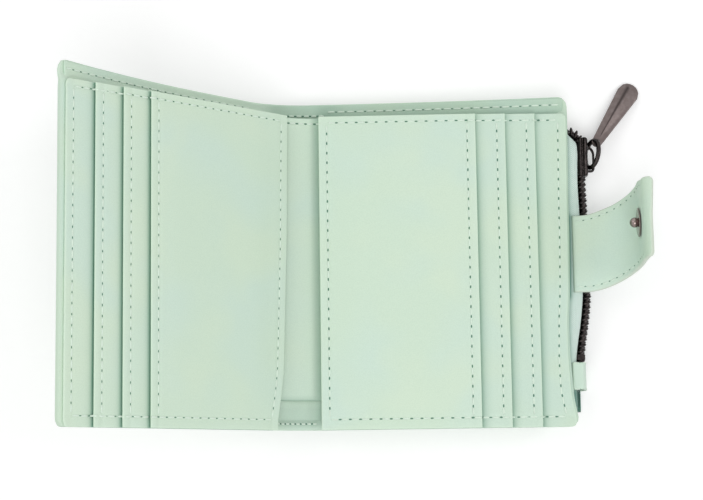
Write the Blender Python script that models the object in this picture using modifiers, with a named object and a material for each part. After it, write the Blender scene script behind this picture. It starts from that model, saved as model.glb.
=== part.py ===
"""Compact bifold wallet with card slots, a note compartment, an outside zip coin pocket and a snap tab.

The wallet lies open on the back of its coin pocket. The right half rests, the left half stands up on the
spine. Lengths are in metres. The shapes are written in the fold frame: x runs along a half away from the
fold line, y along the fold line and z up from the face of the front pocket. The pieces of the left half
are written as they lie when the wallet is flat, and their parent turns them about the fold line.
"""
import math

import bmesh
import bpy
from mathutils import Matrix, Vector

MM = 0.001

# Overall card half: places along a half from the fold line, and heights along the fold line
PANEL_INNER = 6.8 * MM          # inner edge of the card panels
PANEL_OUTER = 82.4 * MM         # outer edge of the card panels
MOUTH_PITCH = 9.1 * MM          # from one card mouth to the next
OUTER_STRIP = 9.4 * MM          # bare strip of the base panel outside the last mouth
INTERIOR_TOP = 47.3 * MM
INTERIOR_BOTTOM = -48.3 * MM
COVER_RISE = 5.7 * MM           # how far the cover stands above the interior
COVER_OVERHANG = 1.1 * MM       # cover past the panels at the fore edge of the left half
WALL_OVERHANG = 1.0 * MM        # note wall past the panels at the fore edge of the right half
PANEL_CORNER = 1.5 * MM
COVER_CORNER = 3.0 * MM

# Leather, lining and fit
CLEARANCE = 0.3 * MM            # between pieces that are sewn or stacked together
POCKET_SHEET = 0.45 * MM
BASE_SHEET = 0.6 * MM
LINING_SHEET = 0.4 * MM
COIN_LINING_SHEET = 0.35 * MM
COVER_LEATHER = 1.0 * MM
WALL_LEATHER = 0.9 * MM
SLOT_ROOT = 9.0 * MM            # inner end of the slot panels, where a card stops

# Fold
FOLD_AXIS_HEIGHT = 0.4 * MM     # above the face of the front pocket
REST_ANGLE = 45.6               # degrees that the left half stands up from flat
SPINE_END = 8.0 * MM            # where the spine lining meets the linings of the halves
SPINE_LINING_BOTTOM = -39.4 * MM
COVER_SPINE_END = 8.0 * MM      # where the front cover hands over to the spine
WALL_SPINE_END = 4.0 * MM

# Note compartment: how far it stands open at its mouth
GAPE_LEFT = 7.0 * MM
GAPE_LEFT_PEAK = 20.0 * MM
GAPE_RIGHT = 4.6 * MM
GAPE_RIGHT_PEAK = 2.0 * MM
GAPE_RISE_POWER = 1.5

# Coin pocket
PILLOW_MARGIN = 8.5 * MM       # width of the slope from the rim at the spine to the flat back
PILLOW_END = 8.5 * MM           # width of the slope at the top and the bottom
COIN_SEAM = 5.5 * MM            # sewn margin that the coin linings stay clear of
COIN_LINING_INSET = 3.0 * MM    # start of the back lining's slope inside the rim
BACK_CORNER_REACH = 1.6 * MM    # lower outer corner of the pocket past the panels
BACK_CORNER_HEIGHT = 9.0 * MM
BACK_EDGE = 0.5 * MM            # back cover past the panels along the zip

# Zip
CHAIN_REACH = 5.7 * MM          # chain past the panels
CHAIN_DROP = 2.5 * MM           # how far the chain draws in at its lower end
CHAIN_STRAIGHT_FROM = 2.0 * MM
CHAIN_DROP_POWER = 1.5
CHAIN_TUCK = 2.4 * MM           # how far the chain draws in above the slider
CHAIN_TUCK_FROM = 41.0 * MM
CHAIN_TOP = 43.8 * MM
CHAIN_BOTTOM = -24.6 * MM
TOOTH_PITCH = 1.65 * MM
TOOTH_HALF_THICK = 1.0 * MM
TOOTH_OUTER = 0.65 * MM         # clamp behind the cord
TOOTH_REACH = 1.85 * MM         # head ahead of the cord
TOOTH_HALF_BODY = 0.40 * MM
TOOTH_HALF_HEAD = 0.22 * MM
CORD_RADIUS = 0.5 * MM
ROW_HALF_SPACING = 1.45 * MM    # cord to chain centre where the teeth mesh
ROW_SPREAD = 0.95 * MM          # added where the rows part above the wedge
TAPE_SHEET = 0.4 * MM
TAPE_SEAM = 4.0 * MM            # tape under the panels' edge
TAPE_TAIL = 2.0 * MM            # tape below the end cap
TAPE_BEND = 0.9 * MM            # radius of the bend beside the chain
STOP_LENGTH = 1.6 * MM
STOP_HALF_THICK = 1.2 * MM

# Slider, ring and pull
SLIDER_CENTRE = 35.0 * MM       # along the fold line, at rest
SLIDER_LENGTH = 12.0 * MM
SLIDER_TRAVEL = 54.0 * MM
SLIDER_PLATE = 0.5 * MM
SLIDER_RUN = 0.25 * MM          # play round the teeth
SLIDER_LIP = 0.35 * MM
SLIDER_HEADROOM = 0.45 * MM     # between the slider and the front tape
SLIDER_FOOTROOM = 0.4 * MM      # between the slider and the back tape
SLIDER_NARROW_SHARE = 0.35      # part of the length that keeps the narrow width
TAPE_SLOT_HALF = 0.45 * MM
SLIDER_BEVEL = 0.3 * MM
BRIDGE_FOOT = 0.7 * MM
BRIDGE_OPENING = 2.2 * MM       # clear height under the bridge
BRIDGE_BAR = 0.8 * MM
BRIDGE_HALF_WIDTH = 0.8 * MM
BRIDGE_LENGTH = 8.4 * MM
BRIDGE_END = 1.0 * MM           # bridge foot in from the slider's lower end
BRIDGE_SINK = 0.2 * MM
RING_WIRE = 0.5 * MM            # radius
RING_HALF_LENGTH = 4.3 * MM
RING_HALF_WIDTH = 2.7 * MM
RING_SEAT = 1.1 * MM            # wire centre above the slider plate
RING_PLAY = 0.7 * MM            # between the wire and the foot of the bridge
RING_LEAN = 10.0                # degrees out from the slider
RING_TWIST = 70.0               # degrees that the ring stands up from level
PULL_LENGTH = 22.4 * MM
PULL_EYE = 1.6 * MM             # radius of the narrow end
PULL_HOLE = 0.95 * MM
PULL_END = 3.4 * MM             # radius of the broad end
PULL_HALF_THICK = 0.4 * MM
PULL_RIDGE = 0.5 * MM
PULL_TURN = 33.4                # degrees out from the fold line's direction
PULL_SLOPE = 10.0               # degrees down to the surface that the wallet lies on

# Zip end cap
CAP_TOP = -28.9 * MM
CAP_LENGTH = 8.2 * MM
CAP_LEATHER = 0.7 * MM
CAP_REACH = 1.5 * MM            # past the chain's centre

# Closing tab
TAB_WIDTH = 23.6 * MM
TAB_CENTRE = 4.2 * MM
TAB_LENGTH = 43.0 * MM
TAB_STRAIGHT = 8.5 * MM
TAB_BEND_LENGTH = 7.0 * MM      # sewn root that bends as the tab swings
TAB_CURL_RADIUS = 10.5 * MM
TAB_STEEP = 84.0                # degrees at the snap
TAB_FLARE_FROM = 35.0 * MM
TAB_TIP_ANGLE = 62.0
TAB_SKEW = 5.8 * MM             # sideways swing of the tip
TAB_SKEW_FROM = 4.0 * MM
TAB_SKEW_TO = 28.0 * MM
TAB_CURL_LEAD = 0.14            # earlier curl at the upper side, per unit of width
TAB_TIP_RADIUS = 2.5 * MM
TAB_LINING = 0.6 * MM
TAB_LEATHER = 0.6 * MM
TAB_CLOSED = 89.0               # degrees from rest to the snapped place

# Snap
STUD_FROM_ROOT = 29.6 * MM      # along the tab
STUD_FLANGE = 4.4 * MM          # radius
STUD_FLANGE_THICK = 0.35 * MM
STUD_NECK = 1.0 * MM
STUD_BALL = 1.5 * MM
STUD_HEIGHT = 3.0 * MM
STUD_HOLE_PLAY = 0.35 * MM
STUD_CAP_RADIUS = 5.0 * MM
STUD_CAP_THICK = 0.8 * MM
STUD_CAP_EDGE = 0.3 * MM
SOCKET_RADIUS = 4.4 * MM
SOCKET_HEIGHT = 1.6 * MM
SOCKET_BORE = 2.2 * MM
SOCKET_RIM = 0.5 * MM
TURNED_STEPS = 24
CUT_OVERRUN = 2.0 * MM

# Mesh density
ARC_STEPS = 3
CURVE_STEPS = 9
RISE_STEPS = 6
SPINE_STEPS = 8
TAPE_STEPS = 28
TAB_STEPS = 22
INTEGRATION_STEPS = 60
RING_STEPS = 28
PULL_STEPS = 8

LEATHER = (0.62, 0.79, 0.64, 1.0)
LEATHER_DEEP = (0.50, 0.70, 0.56, 1.0)
LINING = (0.47, 0.68, 0.57, 1.0)
TAPE = (0.46, 0.72, 0.60, 1.0)
GUNMETAL = (0.09, 0.08, 0.085, 1.0)
NICKEL = (0.27, 0.24, 0.23, 1.0)


def clear_scene():
    """Remove what the scene holds before the model is made."""
    for obj in list(bpy.data.objects):
        bpy.data.objects.remove(obj, do_unlink=True)
    for group in list(bpy.data.collections):
        bpy.data.collections.remove(group)


def make_material(name, colour, roughness, metallic=0.0):
    """Principled material with one colour, roughness and metallic value."""
    material = bpy.data.materials.new(name)
    material.use_nodes = True
    shader = material.node_tree.nodes["Principled BSDF"]
    shader.inputs["Base Color"].default_value = colour
    shader.inputs["Roughness"].default_value = roughness
    shader.inputs["Metallic"].default_value = metallic
    material.diffuse_color = colour
    return material


class Body:
    """A rigid body: an empty on its joint, and the place of that joint in the fold frame."""

    def __init__(self, name, origin, parent=None):
        self.origin = Vector(origin)
        self.empty = bpy.data.objects.new(name, None)
        self.empty.empty_display_size = PANEL_INNER
        PARTS.objects.link(self.empty)
        if parent is not None:
            self.empty.parent = parent.empty
            self.empty.location = self.origin - parent.origin

    def carry(self, obj):
        """Parent an object whose mesh is written about this body's origin."""
        obj.parent = self.empty
        return obj


def link_mesh(name, mesh, body, material, group=None):
    """New object from a mesh, in its body and with its material."""
    obj = bpy.data.objects.new(name, mesh)
    (group or PARTS).objects.link(obj)
    if material is not None:
        mesh.materials.append(material)
    body.carry(obj)
    return obj


def mesh_from(name, bm):
    """Mesh datablock from a bmesh, which is freed."""
    mesh = bpy.data.meshes.new(name)
    bm.to_mesh(mesh)
    bm.free()
    return mesh


def sheet(name, us, vs, surface, thickness, body, material):
    """Sheet whose upper face is surface(u, v) and whose thickness lies below it."""
    bm = bmesh.new()
    rows = [[bm.verts.new(surface(u, v) - body.origin) for v in vs] for u in us]
    for low, high in zip(rows, rows[1:]):
        for k in range(len(vs) - 1):
            bm.faces.new((low[k], high[k], high[k + 1], low[k + 1]))
    obj = link_mesh(name, mesh_from(name, bm), body, material)
    solid = obj.modifiers.new("thickness", "SOLIDIFY")
    solid.thickness = thickness
    solid.offset = -1.0
    solid.use_even_offset = True
    return obj


def loft(name, rings, body, material):
    """Closed body through rings of equal count, with a flat cap on each end."""
    bm = bmesh.new()
    loops = [[bm.verts.new(point - body.origin) for point in ring] for ring in rings]
    count = len(rings[0])
    for low, high in zip(loops, loops[1:]):
        for k in range(count):
            bm.faces.new((low[k], low[(k + 1) % count], high[(k + 1) % count], high[k]))
    bm.faces.new(tuple(reversed(loops[0])))
    bm.faces.new(tuple(loops[-1]))
    bmesh.ops.recalc_face_normals(bm, faces=bm.faces)
    return link_mesh(name, mesh_from(name, bm), body, material)


def prism(name, outline, place, low, high, body, material, group=None):
    """Flat outline carried from low to high; place(a, b, c) turns outline and height into a point."""
    bm = bmesh.new()
    ends = [[bm.verts.new(place(a, b, c) - body.origin) for a, b in outline] for c in (low, high)]
    count = len(outline)
    for k in range(count):
        bm.faces.new((ends[0][k], ends[0][(k + 1) % count], ends[1][(k + 1) % count], ends[1][k]))
    bm.faces.new(tuple(reversed(ends[0])))
    bm.faces.new(tuple(ends[1]))
    bmesh.ops.recalc_face_normals(bm, faces=bm.faces)
    return link_mesh(name, mesh_from(name, bm), body, material, group)


def turned(name, profile, matrix, body, material, closed=False):
    """Profile of (radius, height) points turned about its own axis and placed by a matrix."""
    bm = bmesh.new()
    points = [bm.verts.new((radius, 0.0, height)) for radius, height in profile]
    for low, high in zip(points, points[1:]):
        bm.edges.new((low, high))
    if closed:
        bm.edges.new((points[-1], points[0]))
    obj = link_mesh(name, mesh_from(name, bm), body, material)
    screw = obj.modifiers.new("turn", "SCREW")
    screw.steps = TURNED_STEPS
    screw.render_steps = TURNED_STEPS
    screw.use_merge_vertices = True
    screw.merge_threshold = CLEARANCE * MERGE_SHARE
    obj.matrix_basis = matrix
    return obj


def cutter_style(obj):
    """Show a cutter as wire and keep it out of the model."""
    obj.hide_render = True
    obj.display_type = "WIRE"
    return obj


def round_cutter(name, radius, matrix, body):
    """Cylinder that drills through whatever it crosses near its centre."""
    bm = bmesh.new()
    bmesh.ops.create_cone(
        bm, cap_ends=True, segments=TURNED_STEPS, radius1=radius, radius2=radius, depth=2 * CUT_OVERRUN)
    obj = link_mesh(name, mesh_from(name, bm), body, None, CUTTERS)
    obj.matrix_basis = matrix
    return cutter_style(obj)


def combine(obj, other, operation):
    """Exact Boolean between an object and a cutter."""
    modifier = obj.modifiers.new(operation.lower(), "BOOLEAN")
    modifier.operation = operation
    modifier.solver = "EXACT"
    modifier.object = other
    return obj


def smoothstep(value):
    """Ease from 0 to 1."""
    value = min(1.0, max(0.0, value))
    return value * value * (3.0 - 2.0 * value)


def even_shares(count):
    """Shares from 0 to 1 in equal steps."""
    return [k / count for k in range(count + 1)]


def shares_with_ends(height, radius, steps):
    """Shares along a height with the stations of a rounded corner at each end."""
    if radius <= 0.0:
        return even_shares(steps)
    ends = [radius * (1.0 - math.cos(math.pi / 2 * k / ARC_STEPS)) / height for k in range(ARC_STEPS + 1)]
    low, high = ends[-1], 1.0 - ends[-1]
    middle = [low + (high - low) * k / steps for k in range(1, steps)]
    return ends + middle + [1.0 - share for share in reversed(ends)]


def pillow_rise(length, radius, margin):
    """Shares along a length with corner stations and close stations on the slope at both ends."""
    arc = [radius * (1.0 - math.cos(math.pi / 2 * k / ARC_STEPS)) for k in range(ARC_STEPS + 1)]
    slope = [radius + (margin - radius) * k / RISE_STEPS for k in range(1, RISE_STEPS + 1)]
    low = [place / length for place in arc + slope]
    middle = [low[-1] + (1.0 - 2 * low[-1]) * k / RISE_STEPS for k in range(1, RISE_STEPS)]
    return low + middle + [1.0 - share for share in reversed(low)]


def pillow_run(length, margin):
    """Shares along a length with close stations on the slope at its start."""
    slope = margin / length
    return ([slope * k / RISE_STEPS for k in range(RISE_STEPS)]
            + [slope + (1.0 - slope) * k / CURVE_STEPS for k in range(CURVE_STEPS + 1)])


def corner_cut(y, low, high, radius):
    """How far a rounded corner draws the fore edge in at height y."""
    reach = min(y - low, high - y)
    if reach >= radius:
        return 0.0
    return radius - math.sqrt(max(0.0, radius ** 2 - (radius - max(0.0, reach)) ** 2))


def half_point(side, share, y, inner, outer, low, high, radius, depth):
    """Point of a half: share runs from the inner to the outer edge, depth is below the pocket face."""
    edge = outer - corner_cut(y, low, high, radius)
    s = inner + share * (edge - inner)
    return Vector((side * s, y, -depth(s, y)))


def half_sheet(name, side, inner, outer, low, high, radius, depth, thickness, steps, rise, body, material):
    """Sheet on one half, with its corners rounded at the outer edge."""
    us = even_shares(steps)
    if side < 0:
        us = list(reversed(us))
    vs = shares_with_ends(high - low, radius, rise)

    def surface(share, v):
        y = low + v * (high - low)
        return half_point(side, share, y, inner, outer, low, high, radius, depth)

    return sheet(name, us, vs, surface, thickness, body, material)


# Places that follow from the sizes above
MERGE_SHARE = 0.1
MIDPOINT_SHARE = 0.5
COVER_TOP = INTERIOR_TOP + COVER_RISE
MOUTHS = [PANEL_OUTER - OUTER_STRIP - k * MOUTH_PITCH for k in range(3)]
STEP = POCKET_SHEET + CLEARANCE
BASE_DEPTH = 3 * STEP
NOTE_LINING_DEPTH = BASE_DEPTH + BASE_SHEET + CLEARANCE
PINCH_DEPTH = NOTE_LINING_DEPTH + LINING_SHEET + CLEARANCE
COVER_DEPTH_STEP = LINING_SHEET + CLEARANCE
WALL_EDGE = PANEL_OUTER + WALL_OVERHANG
TAB_STACK = TAB_LINING + CLEARANCE + TAB_LEATHER
TAB_UNDER = PINCH_DEPTH + WALL_LEATHER + CLEARANCE + TAB_STACK + CLEARANCE
SLIDER_HALF = ROW_HALF_SPACING + ROW_SPREAD + TOOTH_OUTER + SLIDER_RUN + SLIDER_LIP
CHAIN_DEPTH = TAB_UNDER + TAPE_SHEET + SLIDER_HEADROOM + SLIDER_HALF
BACK_STACK = CHAIN_DEPTH + SLIDER_HALF + SLIDER_FOOTROOM + TAPE_SHEET + CLEARANCE
BACK_FLAT_DEPTH = BACK_STACK - COVER_LEATHER
REST_FACE_CENTRE = (WALL_SPINE_END + PANEL_OUTER) / 2


def gape(side, s, y):
    """Depth of the note compartment's outer wall: sewn at the foot and fore edge, open at the mouth."""
    amount, peak = (GAPE_LEFT, GAPE_LEFT_PEAK) if side < 0 else (GAPE_RIGHT, GAPE_RIGHT_PEAK)
    along = max(0.0, s - peak) / (PANEL_OUTER - peak)
    rise = max(0.0, y - INTERIOR_BOTTOM) / (COVER_TOP - INTERIOR_BOTTOM)
    return PINCH_DEPTH + amount * max(0.0, 1.0 - along ** 2) * rise ** GAPE_RISE_POWER


def pillow(s, y, rim, flat, inset):
    """Depth of a pillow from its rim to its flat part; the rim lies inset from the sewn edges."""
    reach = max(0.0, 1.0 - (s - WALL_SPINE_END - inset) / PILLOW_MARGIN)
    near = min(y - INTERIOR_BOTTOM, COVER_TOP - y) - inset
    bulge = smoothstep(1.0 - math.hypot(reach, max(0.0, 1.0 - near / PILLOW_END)))
    return rim + (flat - rim) * bulge


def wall_under(s, y):
    """Depth that clears the underside of the note wall."""
    return gape(1, s, y) + WALL_LEATHER + CLEARANCE


def back_depth(s, y):
    """Depth of the back cover's inner face."""
    return pillow(s, y, wall_under(s, y), BACK_FLAT_DEPTH, 0.0)


def back_lining_depth(s, y):
    """Depth of the upper face of the lining that lies in the back cover."""
    step = COIN_LINING_SHEET + CLEARANCE
    return pillow(s, y, wall_under(s, y) + step, BACK_FLAT_DEPTH - step, COIN_LINING_INSET)


def card_panels(side, prefix, body, skin, deep):
    """Front pocket, two slot panels and the base panel of one half, each a step below the last."""
    names = ("front_pocket", "slot_panel_inner", "slot_panel_outer", "base_panel")
    inner = (PANEL_INNER, SLOT_ROOT, SLOT_ROOT, PANEL_INNER)
    outer = (MOUTHS[2], MOUTHS[1], MOUTHS[0], PANEL_OUTER)
    for level, name in enumerate(names):
        thick = BASE_SHEET if name == "base_panel" else POCKET_SHEET
        depth = level * STEP
        half_sheet(prefix + "_" + name, side, inner[level], outer[level], INTERIOR_BOTTOM, INTERIOR_TOP,
                   PANEL_CORNER * (name == "base_panel"), lambda s, y, d=depth: d, thick, 1, 1, body, skin)
    half_sheet(prefix + "_note_lining", side, SPINE_END + CLEARANCE, PANEL_OUTER, INTERIOR_BOTTOM,
               INTERIOR_TOP, PANEL_CORNER, lambda s, y: NOTE_LINING_DEPTH, LINING_SHEET, 1, 1, body, deep)


def front_half(body, skin, deep, metal):
    """Card panels, cover, cover lining and snap socket of the half that stands up."""
    card_panels(-1, "left", body, skin, deep)
    edge = PANEL_OUTER + COVER_OVERHANG
    lining = half_sheet(
        "front_cover_lining", -1, COVER_SPINE_END, edge - COVER_OVERHANG, INTERIOR_BOTTOM,
        COVER_TOP - CLEARANCE, COVER_CORNER, lambda s, y: gape(-1, s, y), LINING_SHEET,
        CURVE_STEPS, RISE_STEPS, body, deep)
    cover = half_sheet(
        "front_cover", -1, COVER_SPINE_END, edge, INTERIOR_BOTTOM, COVER_TOP, COVER_CORNER,
        lambda s, y: gape(-1, s, y) + COVER_DEPTH_STEP, COVER_LEATHER, CURVE_STEPS, RISE_STEPS, body, skin)
    snap_socket(body, metal)
    return lining, cover


def tab_angle(u):
    """Slope of the tab at length u, in radians: straight, curled up, then flared at the tip."""
    curl = math.radians(TAB_STEEP) * TAB_CURL_RADIUS
    if u <= TAB_STRAIGHT:
        return 0.0
    if u < TAB_STRAIGHT + curl:
        return (u - TAB_STRAIGHT) / TAB_CURL_RADIUS
    flare = min(1.0, max(0.0, (u - TAB_FLARE_FROM) / (TAB_LENGTH - TAB_FLARE_FROM)))
    return math.radians(TAB_STEEP + (TAB_TIP_ANGLE - TAB_STEEP) * flare)


TAB_ROOT = Vector((WALL_EDGE + CLEARANCE, TAB_CENTRE, -(PINCH_DEPTH + WALL_LEATHER + CLEARANCE)))


TAB_HINGE = TAB_ROOT + Vector((TAB_BEND_LENGTH / 2, 0.0, 0.0))


def tab_point(u, v, depth):
    """Point of the tab at length u and place v across it, at a depth below its inner face."""
    lead = TAB_CURL_LEAD * v
    step = u / INTEGRATION_STEPS
    x = z = 0.0
    for k in range(INTEGRATION_STEPS):
        angle = tab_angle(lead + (k + MIDPOINT_SHARE) * step)
        x += math.cos(angle) * step
        z += math.sin(angle) * step
    angle = tab_angle(lead + u)
    skew = TAB_SKEW * smoothstep((u - TAB_SKEW_FROM) / (TAB_SKEW_TO - TAB_SKEW_FROM))
    normal = Vector((-math.sin(angle), 0.0, math.cos(angle)))
    return TAB_ROOT + Vector((x, v + skew, z)) - normal * depth


def stud_frame(depth):
    """Place and attitude of the snap on the tab, with +Z out of the tab's inner face."""
    u, step = STUD_FROM_ROOT, STUD_NECK
    along = (tab_point(u + step, 0.0, 0.0) - tab_point(u - step, 0.0, 0.0)).normalized()
    across = tab_point(u, step, 0.0) - tab_point(u, -step, 0.0)
    normal = along.cross(across).normalized()
    centre = tab_point(u, 0.0, 0.0) - normal * depth
    return centre, Matrix((along, normal.cross(along), normal)).transposed().to_4x4()


def closed_stud():
    """Where the stud's foot comes to lie when the tab is turned to its snapped place."""
    centre, _ = stud_frame(0.0)
    turn = Matrix.Rotation(-math.radians(TAB_CLOSED), 3, "Y")
    return TAB_HINGE + turn @ (centre - TAB_HINGE)


def snap_socket(body, metal):
    """Ring on the outside of the front cover that the stud presses into."""
    landing = closed_stud()
    s, y = landing.x, landing.y
    face = gape(-1, s, y) + COVER_DEPTH_STEP + COVER_LEATHER + CLEARANCE
    lip = SOCKET_RIM
    profile = [(SOCKET_BORE, SOCKET_HEIGHT), (SOCKET_RADIUS - lip, SOCKET_HEIGHT),
               (SOCKET_RADIUS, SOCKET_HEIGHT - lip), (SOCKET_RADIUS, 0.0), (SOCKET_BORE, 0.0)]
    slope = (gape(-1, s + lip, y) - gape(-1, s - lip, y)) / (2 * lip)
    rise = (gape(-1, s, y + lip) - gape(-1, s, y - lip)) / (2 * lip)
    normal = Vector((slope, -rise, -1.0)).normalized()
    frame = Vector((0.0, 0.0, 1.0)).rotation_difference(normal).to_matrix().to_4x4()
    place = Vector((-s, y, -face)) - body.origin + normal * (SOCKET_RADIUS * abs(slope) * MERGE_SHARE)
    return turned("snap_socket", profile, Matrix.Translation(place) @ frame, body, metal, closed=True)


def tab_root(body, skin):
    """Sewn root of the tab, both layers in one, which bends when the tab swings over."""
    def surface(u_share, v_share):
        return tab_point(u_share * TAB_BEND_LENGTH, v_share * TAB_WIDTH / 2, 0.0)

    sheet("tab_root", even_shares(ARC_STEPS), [-1.0, 1.0], surface, TAB_STACK, body, skin)


def tab(body, skin, deep, metal, dark):
    """Curled tab of two layers with its snap stud and the stud's cap."""
    us = even_shares(TAB_STEPS)
    vs = [-1.0, -1.0 / 3, 1.0 / 3, 1.0]
    start = TAB_BEND_LENGTH + CLEARANCE

    def layer(depth):
        def surface(u_share, v_share):
            u = start + u_share * (TAB_LENGTH - start)
            near = max(0.0, u - (TAB_LENGTH - TAB_TIP_RADIUS))
            cut = TAB_TIP_RADIUS - math.sqrt(max(0.0, TAB_TIP_RADIUS ** 2 - near ** 2))
            return tab_point(u, v_share * (TAB_WIDTH / 2 - cut), depth)
        return surface

    lining = sheet("tab_lining", us, vs, layer(0.0), TAB_LINING, body, deep)
    outer = sheet("tab_outer", us, vs, layer(TAB_LINING + CLEARANCE), TAB_LEATHER, body, skin)
    centre, attitude = stud_frame(0.0)
    hole = round_cutter("tab_hole", STUD_NECK + STUD_HOLE_PLAY,
                        Matrix.Translation(stud_frame(TAB_STACK / 2)[0] - body.origin) @ attitude, body)
    for piece in (lining, outer):
        combine(piece, hole, "DIFFERENCE")
    foot = CLEARANCE
    flange_top = foot + STUD_FLANGE_THICK
    ball_centre = STUD_HEIGHT - STUD_BALL
    neck_angle = math.acos(STUD_NECK / STUD_BALL)
    arc = [(STUD_BALL * math.sin(a), ball_centre + STUD_BALL * math.cos(a))
           for a in [(math.pi / 2 + neck_angle) * k / 6 for k in range(7)]]
    profile = arc + [(STUD_NECK, flange_top), (STUD_FLANGE, flange_top), (STUD_FLANGE, foot),
                     (STUD_NECK, foot), (STUD_NECK, -TAB_STACK), (0.0, -TAB_STACK)]
    place = Matrix.Translation(centre - body.origin) @ attitude
    turned("snap_stud", profile, place, body, metal)
    top = -(TAB_STACK + CLEARANCE)
    cap = [(0.0, top), (STUD_CAP_RADIUS - STUD_CAP_EDGE, top), (STUD_CAP_RADIUS, top - STUD_CAP_EDGE),
           (STUD_CAP_RADIUS - STUD_CAP_EDGE, top - STUD_CAP_THICK + STUD_CAP_EDGE),
           (STUD_CAP_RADIUS / 2, top - STUD_CAP_THICK), (0.0, top - STUD_CAP_THICK)]
    turned("snap_cap", cap, place, body, dark)


def back_half(body, skin, deep, lining):
    """Card panels, note wall and coin pocket of the half that the wallet lies on."""
    card_panels(1, "right", body, skin, deep)
    low, high = INTERIOR_BOTTOM, COVER_TOP
    half_sheet("note_back_wall", 1, WALL_SPINE_END, WALL_EDGE, low, high, COVER_CORNER,
               lambda s, y: gape(1, s, y), WALL_LEATHER, CURVE_STEPS, RISE_STEPS, body, skin)
    coin_low, coin_high = low + COIN_SEAM, high - COIN_SEAM
    coin_inner, coin_outer = WALL_SPINE_END + COIN_SEAM, PANEL_OUTER - TAPE_SEAM - CLEARANCE
    half_sheet("coin_lining_front", 1, coin_inner, coin_outer, coin_low, coin_high, PANEL_CORNER,
               wall_under, COIN_LINING_SHEET, CURVE_STEPS, RISE_STEPS, body, lining)
    run = pillow_run(coin_outer - coin_inner, PILLOW_MARGIN)
    rise = pillow_rise(coin_high - coin_low, PANEL_CORNER, PILLOW_END)

    def back_lining(share, v):
        return half_point(1, share, coin_low + v * (coin_high - coin_low), coin_inner, coin_outer,
                          coin_low, coin_high, PANEL_CORNER, back_lining_depth)

    sheet("coin_lining_back", run, rise, back_lining, COIN_LINING_SHEET, body, lining)
    run = pillow_run(PANEL_OUTER - WALL_SPINE_END, PILLOW_MARGIN)
    rise = pillow_rise(high - low, COVER_CORNER, PILLOW_END)

    def back(share, v):
        y = low + v * (high - low)
        grow = smoothstep((low + BACK_CORNER_HEIGHT - y) / (BACK_CORNER_HEIGHT / 3))
        outer = PANEL_OUTER + BACK_EDGE + (BACK_CORNER_REACH - BACK_EDGE) * grow
        return half_point(1, share, y, WALL_SPINE_END, outer, low, high, COVER_CORNER, back_depth)

    sheet("back_cover", run, rise, back, COVER_LEATHER, body, skin)


def rest_point(s, depth, y):
    """Point of the left half, at rest, from its place along the half and its depth."""
    turn = math.radians(REST_ANGLE)
    drop = depth + FOLD_AXIS_HEIGHT
    return Vector((-(s * math.cos(turn) + drop * math.sin(turn)), y,
                   FOLD_AXIS_HEIGHT + s * math.sin(turn) - drop * math.cos(turn)))


def spine_strip(name, left_end, right_end, left_depth, right_depth, low, high, thickness, body, material):
    """Strip that bends from the left half to the right half, leaving each along its own face."""
    turn = math.radians(REST_ANGLE)
    leave = Vector((math.cos(turn), 0.0, -math.sin(turn)))
    arrive = Vector((1.0, 0.0, 0.0))

    def surface(share, v):
        y = low + v * (high - low)
        start = rest_point(left_end, left_depth(y), y)
        end = Vector((right_end, y, -right_depth(y)))
        pull = (end - start).length
        h00 = 2 * share ** 3 - 3 * share ** 2 + 1
        h10 = share ** 3 - 2 * share ** 2 + share
        h11 = share ** 3 - share ** 2
        return start * h00 + leave * (pull * h10) + end * (1 - h00) + arrive * (pull * h11)

    return sheet(name, even_shares(SPINE_STEPS), even_shares(RISE_STEPS), surface, thickness, body, material)


def spine(body, skin, deep):
    """Flexing middle of the wallet: the cover's spine, its lining and the lining inside the fold."""
    spine_strip("spine_lining", SPINE_END, SPINE_END, lambda y: NOTE_LINING_DEPTH,
                lambda y: NOTE_LINING_DEPTH, SPINE_LINING_BOTTOM, INTERIOR_TOP, LINING_SHEET, body, deep)
    gap = CLEARANCE
    left = COVER_SPINE_END - gap
    right = WALL_SPINE_END - gap
    spine_strip("spine_cover_lining", left, right, lambda y: gape(-1, left, y),
                lambda y: gape(1, right, y), INTERIOR_BOTTOM, COVER_TOP - CLEARANCE, LINING_SHEET,
                body, deep)
    spine_strip("spine_cover", left, right, lambda y: gape(-1, left, y) + COVER_DEPTH_STEP,
                lambda y: gape(1, right, y) + COVER_DEPTH_STEP, INTERIOR_BOTTOM, COVER_TOP, COVER_LEATHER,
                body, skin)


def chain_x(y):
    """Centre of the chain past the fold line: straight by the slider, drawn in at both ends."""
    x = PANEL_OUTER + CHAIN_REACH
    if y < CHAIN_STRAIGHT_FROM:
        share = (CHAIN_STRAIGHT_FROM - max(y, CAP_TOP)) / (CHAIN_STRAIGHT_FROM - CAP_TOP)
        x -= CHAIN_DROP * share ** CHAIN_DROP_POWER
    if y > CHAIN_TUCK_FROM:
        x -= CHAIN_TUCK * ((min(y, CHAIN_TOP) - CHAIN_TUCK_FROM) / (CHAIN_TOP - CHAIN_TUCK_FROM)) ** 2
    return x


def row_offset(y):
    """Distance of a row's cord from the chain's centre: meshed below the wedge, parted above it."""
    low = SLIDER_CENTRE - SLIDER_LENGTH * (MIDPOINT_SHARE - SLIDER_NARROW_SHARE)
    high = SLIDER_CENTRE + SLIDER_LENGTH * MIDPOINT_SHARE
    return ROW_HALF_SPACING + ROW_SPREAD * smoothstep((y - low) / (high - low))


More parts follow.
